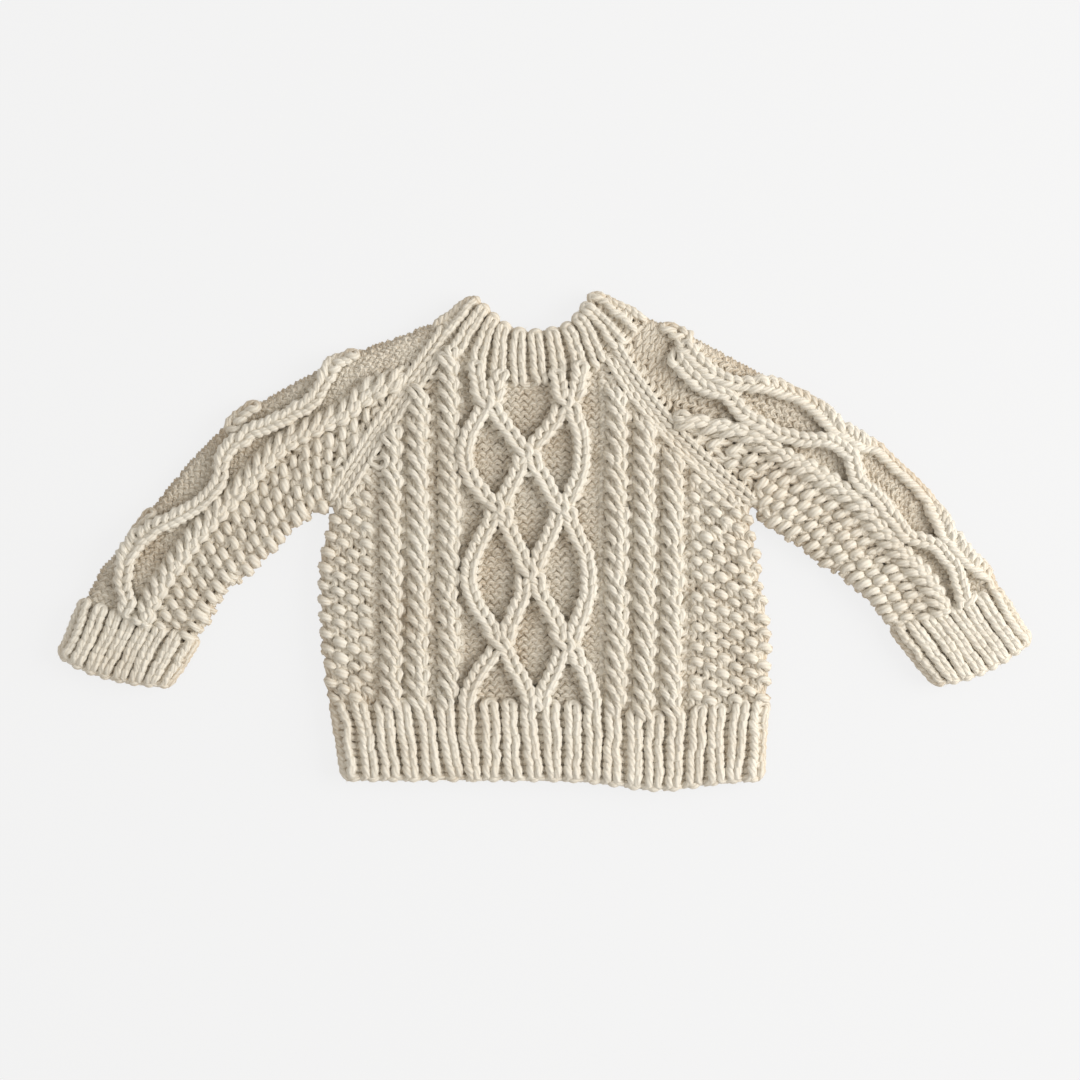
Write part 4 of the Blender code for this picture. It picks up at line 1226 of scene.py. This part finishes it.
def wool_material():
    material, tree, surface = surfaced("wool", {
        "Roughness": 0.88, "Specular IOR Level": 0.18, "Sheen Weight": 0.35,
        "Sheen Roughness": 0.45, "Sheen Tint": (1.0, 0.95, 0.86, 1.0)})
    wrap = node(tree, "ShaderNodeAttribute", attribute_name="wrap").outputs["Vector"]
    wrap = node(tree, "ShaderNodeSeparateXYZ", {0: wrap}).outputs
    angle = maths(tree, "ARCTAN2", wrap["Y"], wrap["X"])
    turn = maths(tree, "MULTIPLY", wrap["Z"], 2.0 * math.pi / TWIST_PITCH)
    twisted = maths(tree, "ADD", angle, turn)
    wave = maths(tree, "COSINE", maths(tree, "MULTIPLY", twisted, float(PLIES)))
    ply = maths(tree, "POWER", maths(tree, "MULTIPLY_ADD", wave, 0.5, 0.5), PLY_SHAPE)

    spun = node(tree, "ShaderNodeCombineXYZ", {
        "X": maths(tree, "COSINE", twisted), "Y": maths(tree, "SINE", twisted),
        "Z": maths(tree, "MULTIPLY", wrap["Z"], UNEVEN_SCALE)})
    fibres = node(tree, "ShaderNodeTexNoise", {
        "Vector": spun.outputs[0], "Scale": FIBRE_SCALE, "Detail": 3.0, "Roughness": 0.65})
    fibres = fibres.outputs["Fac"]
    where = node(tree, "ShaderNodeTexCoord").outputs["Object"]
    fleece = node(tree, "ShaderNodeTexNoise", {
        "Vector": where, "Scale": FLEECE_SCALE, "Detail": 2.0})
    fleece = maths(tree, "MULTIPLY", fleece.outputs["Fac"], FLEECE_TONE)
    spots = maths(tree, "ADD", maths(tree, "MULTIPLY", fibres, FIBRE_TONE), fleece)
    # The plies add painted shade in their grooves and painted highlights on their crests.
    tone = maths(tree, "ADD", maths(tree, "MULTIPLY", ply, PLY_SHADE_TONE), spots)
    # Painted shade low in the knitting and painted light on its crests, by height over the floor.
    level = node(tree, "ShaderNodeSeparateXYZ", {0: where}).outputs["Z"]
    painted_height_shade = node(tree, "ShaderNodeMapRange", {
        "Value": level, "From Min": VALLEY, "From Max": CREST,
        "To Min": PAINTED_VALLEY_SHADE, "To Max": PAINTED_CREST_LIGHT}, interpolation_type="SMOOTHSTEP").outputs["Result"]
    tone = maths(tree, "ADD", tone, painted_height_shade)
    colour = coloured(tree, tone, (0.22, WARM_CREAM), (0.85, PALE_CREAM), (0.5, CREAM))
    tree.links.new(colour, surface["Base Color"])

    height = maths(tree, "ADD", ply, maths(tree, "MULTIPLY", fibres, FIBRE_RELIEF))
    bump = node(tree, "ShaderNodeBump", {"Strength": 1.0, "Distance": RELIEF, "Height": height})
    tree.links.new(bump.outputs["Normal"], surface["Normal"])
    return material


def plain_material(name, colour):
    """Loose fibres, and the felted ground behind the loops."""
    material, tree, surface = surfaced(name, {"Roughness": 0.95, "Specular IOR Level": 0.1})
    where = node(tree, "ShaderNodeTexCoord").outputs["Object"]
    noise = node(tree, "ShaderNodeTexNoise", {"Vector": where, "Scale": 700.0, "Detail": 3.0})
    dark, light = (0.75 * c for c in colour), (min(1.15 * c, 1.0) for c in colour)
    mixed = coloured(tree, noise.outputs["Fac"], (0.0, dark), (1.0, light))
    tree.links.new(mixed, surface["Base Color"])
    return material


WOOL = wool_material()
FIBRE = plain_material("loose fibre", (0.88, 0.82, 0.70))
# The ground's colour, darker and browner than the yarn's, is painted shade for the gaps between
# the loops.
PAINTED_SHADE_GROUND = plain_material("felted ground", (0.56, 0.47, 0.345))
print("materials:", ", ".join(m.name for m in (WOOL, FIBRE, PAINTED_SHADE_GROUND)))

# %% [markdown]
# ## Making the pieces
#
# Each layer of each piece becomes one mesh of yarn. The upper layer gets rounder yarn and more
# points to a stitch than the side that nobody sees.

# %% Yarn pieces
UPPER = {"steps": 12, "sides": 6, "fibres": 60000.0}
UNDER = {"steps": 7, "sides": 4, "fibres": 0.0}
UNEVENNESS = 0.12  # of the yarn's radius
FIBRE_LENGTH = 2.5 * MM
FIBRE_SEED = 1


def paths_mesh(name, paths):
    """One mesh of open lines of points."""
    count = np.cumsum([0] + [len(path) for path in paths])
    spans = zip(count[:-1], count[1:])
    edges = [(k, k + 1) for start, end in spans for k in range(start, end - 1)]
    points = np.concatenate(paths)
    mesh = bpy.data.meshes.new(name)
    mesh.from_pydata((points[:, :3] * MM).tolist(), edges, [])
    mesh.attributes.new("girth", "FLOAT", "POINT").data.foreach_set("value", points[:, 3])
    return mesh


def yarn_piece(name, paths, quality):
    """Runs the yarn tree over some paths and keeps the result as a plain mesh."""
    piece = linked(name, paths_mesh(name, paths))
    knitting = piece.modifiers.new("yarn", "NODES")
    knitting.node_group = YARN_TREE
    values = {
        "Yarn radius": YARN_RADIUS * MM, "Sides": quality["sides"], "Unevenness": UNEVENNESS,
        "Fibres per square metre": quality["fibres"], "Fibre length": FIBRE_LENGTH,
        "Seed": FIBRE_SEED, "Wool": WOOL, "Fibre": FIBRE,
    }
    for socket in YARN_TREE.interface.items_tree:
        if socket.in_out == "INPUT" and socket.name in values:
            knitting[socket.identifier] = values[socket.name]
    depsgraph = bpy.context.evaluated_depsgraph_get()
    mesh = bpy.data.meshes.new_from_object(piece.evaluated_get(depsgraph), depsgraph=depsgraph)
    piece.modifiers.clear()
    piece.data = mesh
    mesh.name = name
    mesh.calc_loop_triangles()
    print(f"{name}: {len(paths)} rows, {len(mesh.loop_triangles)} triangles")
    return piece


print("points to a stitch:", UPPER["steps"], "on top,", UNDER["steps"], "below")

# %% [markdown]
# ## The ground behind the loops
#
# Between loops one sees more wool, never daylight. Filling that with more yarn would cost
# millions of faces, so each piece gets a thin closed wall of felt behind its loops. Its colour is
# darker and browner than the yarn's, as painted shade for the gaps. It is also the plain sheet of
# cloth that a maker would lay out and measure.

# %% Ground pieces
def ring_or_strip(rows, closed):
    """Faces between rows of point numbers, closed round each row or not."""
    faces = []
    for low, high in zip(rows[:-1], rows[1:]):
        for k in range(len(low) if closed else len(low) - 1):
            after = (k + 1) % len(low)
            faces.append((low[k], low[after], high[after], high[k]))
    return faces


GROUND_LIFT = (-2.0, -3.0)  # the outer and the inner skin of the ground, from the yarn's middle
GROUND_STEP = 7.0
GROUND_ROWS = 0.6  # stations to a row of knitting
NECK_ROOM = 0.5  # how far the ground stays below the neck seam


def ground_row(cloth, faces, lift, share, v):
    """Points of a skin of the ground at row v: a strip over one layer, or a ring round two."""
    ring = []
    for face in faces:
        there = share if face == faces[0] else share[::-1][1:-1]
        vs = np.full(len(there), v)
        if cloth is body:
            x = cloth.plan(there, vs)[:, 0]
            vs = np.minimum(vs, (neck_y(x) - NECK_ROOM - HEM_TOP) / ROW - 0.5)
        lifts = np.full(len(there), lift)
        ring.append(cloth.place(there * cloth.unrolled(vs), vs, lifts, face))
    return np.concatenate(ring)


def ground_piece(name, cloth, faces, v_low, v_high):
    """The felted ground of a piece: a thin closed wall behind the loops, one layer or a tube."""
    stations = np.linspace(v_low, v_high, max(4, round((v_high - v_low) * GROUND_ROWS)))
    count = max(8, round(float(cloth.unrolled(0.5 * (v_low + v_high))) / GROUND_STEP))
    share = np.linspace(0.0, 1.0, count)
    skins = np.array([[ground_row(cloth, faces, lift, share, v) for v in stations]
                      for lift in GROUND_LIFT])
    numbers = np.arange(skins[..., 0].size).reshape(skins.shape[:3])
    closed = len(faces) == 2
    quads = ring_or_strip(numbers[0].tolist(), closed)
    quads += [q[::-1] for q in ring_or_strip(numbers[1].tolist(), closed)]
    for end in (0, -1):
        quads += ring_or_strip(numbers[:, end].tolist(), closed)
    for end in () if closed else (0, -1):
        quads += ring_or_strip(numbers[:, :, end].tolist(), False)
    mesh = bpy.data.meshes.new(name)
    mesh.from_pydata((skins.reshape(-1, 3) * MM).tolist(), [], quads)
    shape = bmesh.new()
    shape.from_mesh(mesh)
    bmesh.ops.remove_doubles(shape, verts=shape.verts, dist=1e-6)
    bmesh.ops.recalc_face_normals(shape, faces=shape.faces)
    area = 0.5 * sum(f.calc_area() for f in shape.faces)
    shape.to_mesh(mesh)
    shape.free()
    mesh.shade_smooth()
    mesh.materials.append(PAINTED_SHADE_GROUND)
    return linked(name, mesh), area


print(f"ground {GROUND_LIFT[0] - GROUND_LIFT[1]:.0f} mm thick")

# %% [markdown]
# ## Knitting the garment
#
# Now each piece is a line or two: its cloth, its chart and its rows. A tube such as a sleeve is
# knitted as an upper and a lower layer that meet at the fold.

# %% Knit everything
def finish_piece(piece, node_name):
    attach(piece, "root")
    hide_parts(node_name)


def cut_size(cloth, layers, low, high):
    """The cloth before it is laid: its widest row, and its longest wale along its middle."""
    rows = np.linspace(low, high, 60)
    middles = (0.5, 0.0)[:layers]  # a tube is laid with its middle at the fold
    wales = [step_lengths(cloth.plan(np.full(len(rows), share), rows)).sum() for share in middles]
    return layers * cloth.unrolled(rows).max() * MM, max(wales) * MM


def knit_node(node_name, cloth, layers, low, high):
    """The yarn of one piece, and its ground, with the size of the cloth it is cut from printed.
    """
    for suffix, _, quality, paths in layers:
        piece = yarn_piece(f"{node_name}_{suffix}", paths, quality)
        finish_piece(piece, node_name)
    faces = sorted({layer[1] for layer in layers}, reverse=True)
    ground, area = ground_piece(f"{node_name}_ground", cloth, faces, low, high)
    finish_piece(ground, node_name)
    width, length = cut_size(cloth, len(faces), low, high)
    min(area, width * length)
    print(f"{node_name}: cut {width / MM:.0f} x {length / MM:.0f} mm, {1e4 * area:.0f} square cm")


def ribbed(cloth, face, steps, band):
    """The yarn of a ribbed band, with the rolled row of its edge."""
    pull = band.get("pull", (0.0, 0.0))
    chart = rib_chart(cloth.rows, band["ribs"], relief(face), band["seed"], band["girth"], pull)
    edge = edge_roll(cloth, band["ribs"], face, *band["edge"])
    return knitted(cloth, chart, face, steps) + edge


def knit_tube(node_name, cloth, yarn_of, low, high):
    """A tube laid flat. yarn_of gives the paths of one of its two layers."""
    layers = [("knit_upper", 1, UPPER), ("knit_under", -1, UNDER)]
    layers = [(*layer, yarn_of(layer[1], layer[2]["steps"])) for layer in layers]
    knit_node(node_name, cloth, layers, low, high)


SPLIT_ROW = 21  # the front is two pieces of yarn, one below this row and one above it
FIRST_ROW, LAST_ROW = -0.45, -0.55  # the ends of a ground, from the first row and past the last

halves = {"knit_lower": range(SPLIT_ROW), "knit_upper": range(SPLIT_ROW, BODY_ROWS)}
front_yarn = [(name, 1, UPPER, knitted(body, front_chart, 1, UPPER["steps"], rows))
              for name, rows in halves.items()]
knit_node("front", body, front_yarn, FIRST_ROW, BODY_ROWS - 0.5)
back_yarn = knitted(body, back_chart, -1, UNDER["steps"])
knit_node("back", body, [("knit", -1, UNDER, back_yarn)], FIRST_ROW, BODY_ROWS - 0.5)
for node_name, face, quality in (("hem_front", 1, UPPER), ("hem_back", -1, UNDER)):
    paths = ribbed(hem, face, quality["steps"], HEM_BAND)
    knit_node(node_name, hem, [("knit", face, quality, paths)], FIRST_ROW, HEM_ROWS + LAST_ROW)
for side in ("left", "right"):
    cloth = sleeves[side]
    knit_tube(
        f"sleeve_{side}", cloth,
        lambda face, steps: knitted(cloth, sleeve_charts[side, face], face, steps),
        -0.4, cloth.rows - 0.1)
    knit_tube(
        f"cuff_{side}", cuffs[side],
        lambda face, steps: ribbed(cuffs[side], face, steps, CUFF_BAND),
        FIRST_ROW, CUFF_ROWS + LAST_ROW)
knit_tube("neckband", neck, lambda face, steps: ribbed(neck, face, steps, NECK_BAND),
          -1.4, NECK_ROWS + LAST_ROW)

# %% [markdown]
# ## Floor and light
#
# The floor is plain and pale. One large soft lamp stands low on the right and rakes across the
# knitting, so each loop casts a small shadow to its left, and the pale sky fills the shadows.

# %% Floor
FLOOR_HALF = 8.0
floor_mesh = bpy.data.meshes.new("floor")
floor_corners = ((-1, -1), (1, -1), (1, 1), (-1, 1))
floor_mesh.from_pydata(
    [(FLOOR_HALF * x, FLOOR_HALF * y, 0) for x, y in floor_corners], [], [(0, 1, 2, 3)])
floor = linked("floor", floor_mesh)
paper, _, _ = surfaced("paper", {
    "Base Color": (0.080, 0.080, 0.081, 1.0), "Roughness": 1.0, "Specular IOR Level": 0.0,
    "Emission Color": (1.0, 1.0, 1.0, 1.0), "Emission Strength": 0.815})
floor_mesh.materials.append(paper)
print(f"floor {2 * FLOOR_HALF:.0f} m wide")

# %% Light
LAMP_PLACE = (1.55, 0.10, 0.95)

light = bpy.data.lights.new("window", "AREA")
light.shape = "SQUARE"
light.size = 1.4
light.energy = 35.0
light.color = (1.0, 0.99, 0.975)
lamp = linked("window", light)
lamp.location = LAMP_PLACE
lamp.rotation_euler = Vector(LAMP_PLACE).to_track_quat("Z", "Y").to_euler()
world = bpy.data.worlds.new("room")
world.use_nodes = True
sky = world.node_tree.nodes["Background"].inputs
sky["Color"].default_value = (1.0, 0.975, 0.94, 1.0)
sky["Strength"].default_value = 0.655
bpy.context.scene.world = world
bpy.context.scene.view_settings.view_transform = "Standard"
print(f"lamp {Vector(LAMP_PLACE).length:.1f} m away")
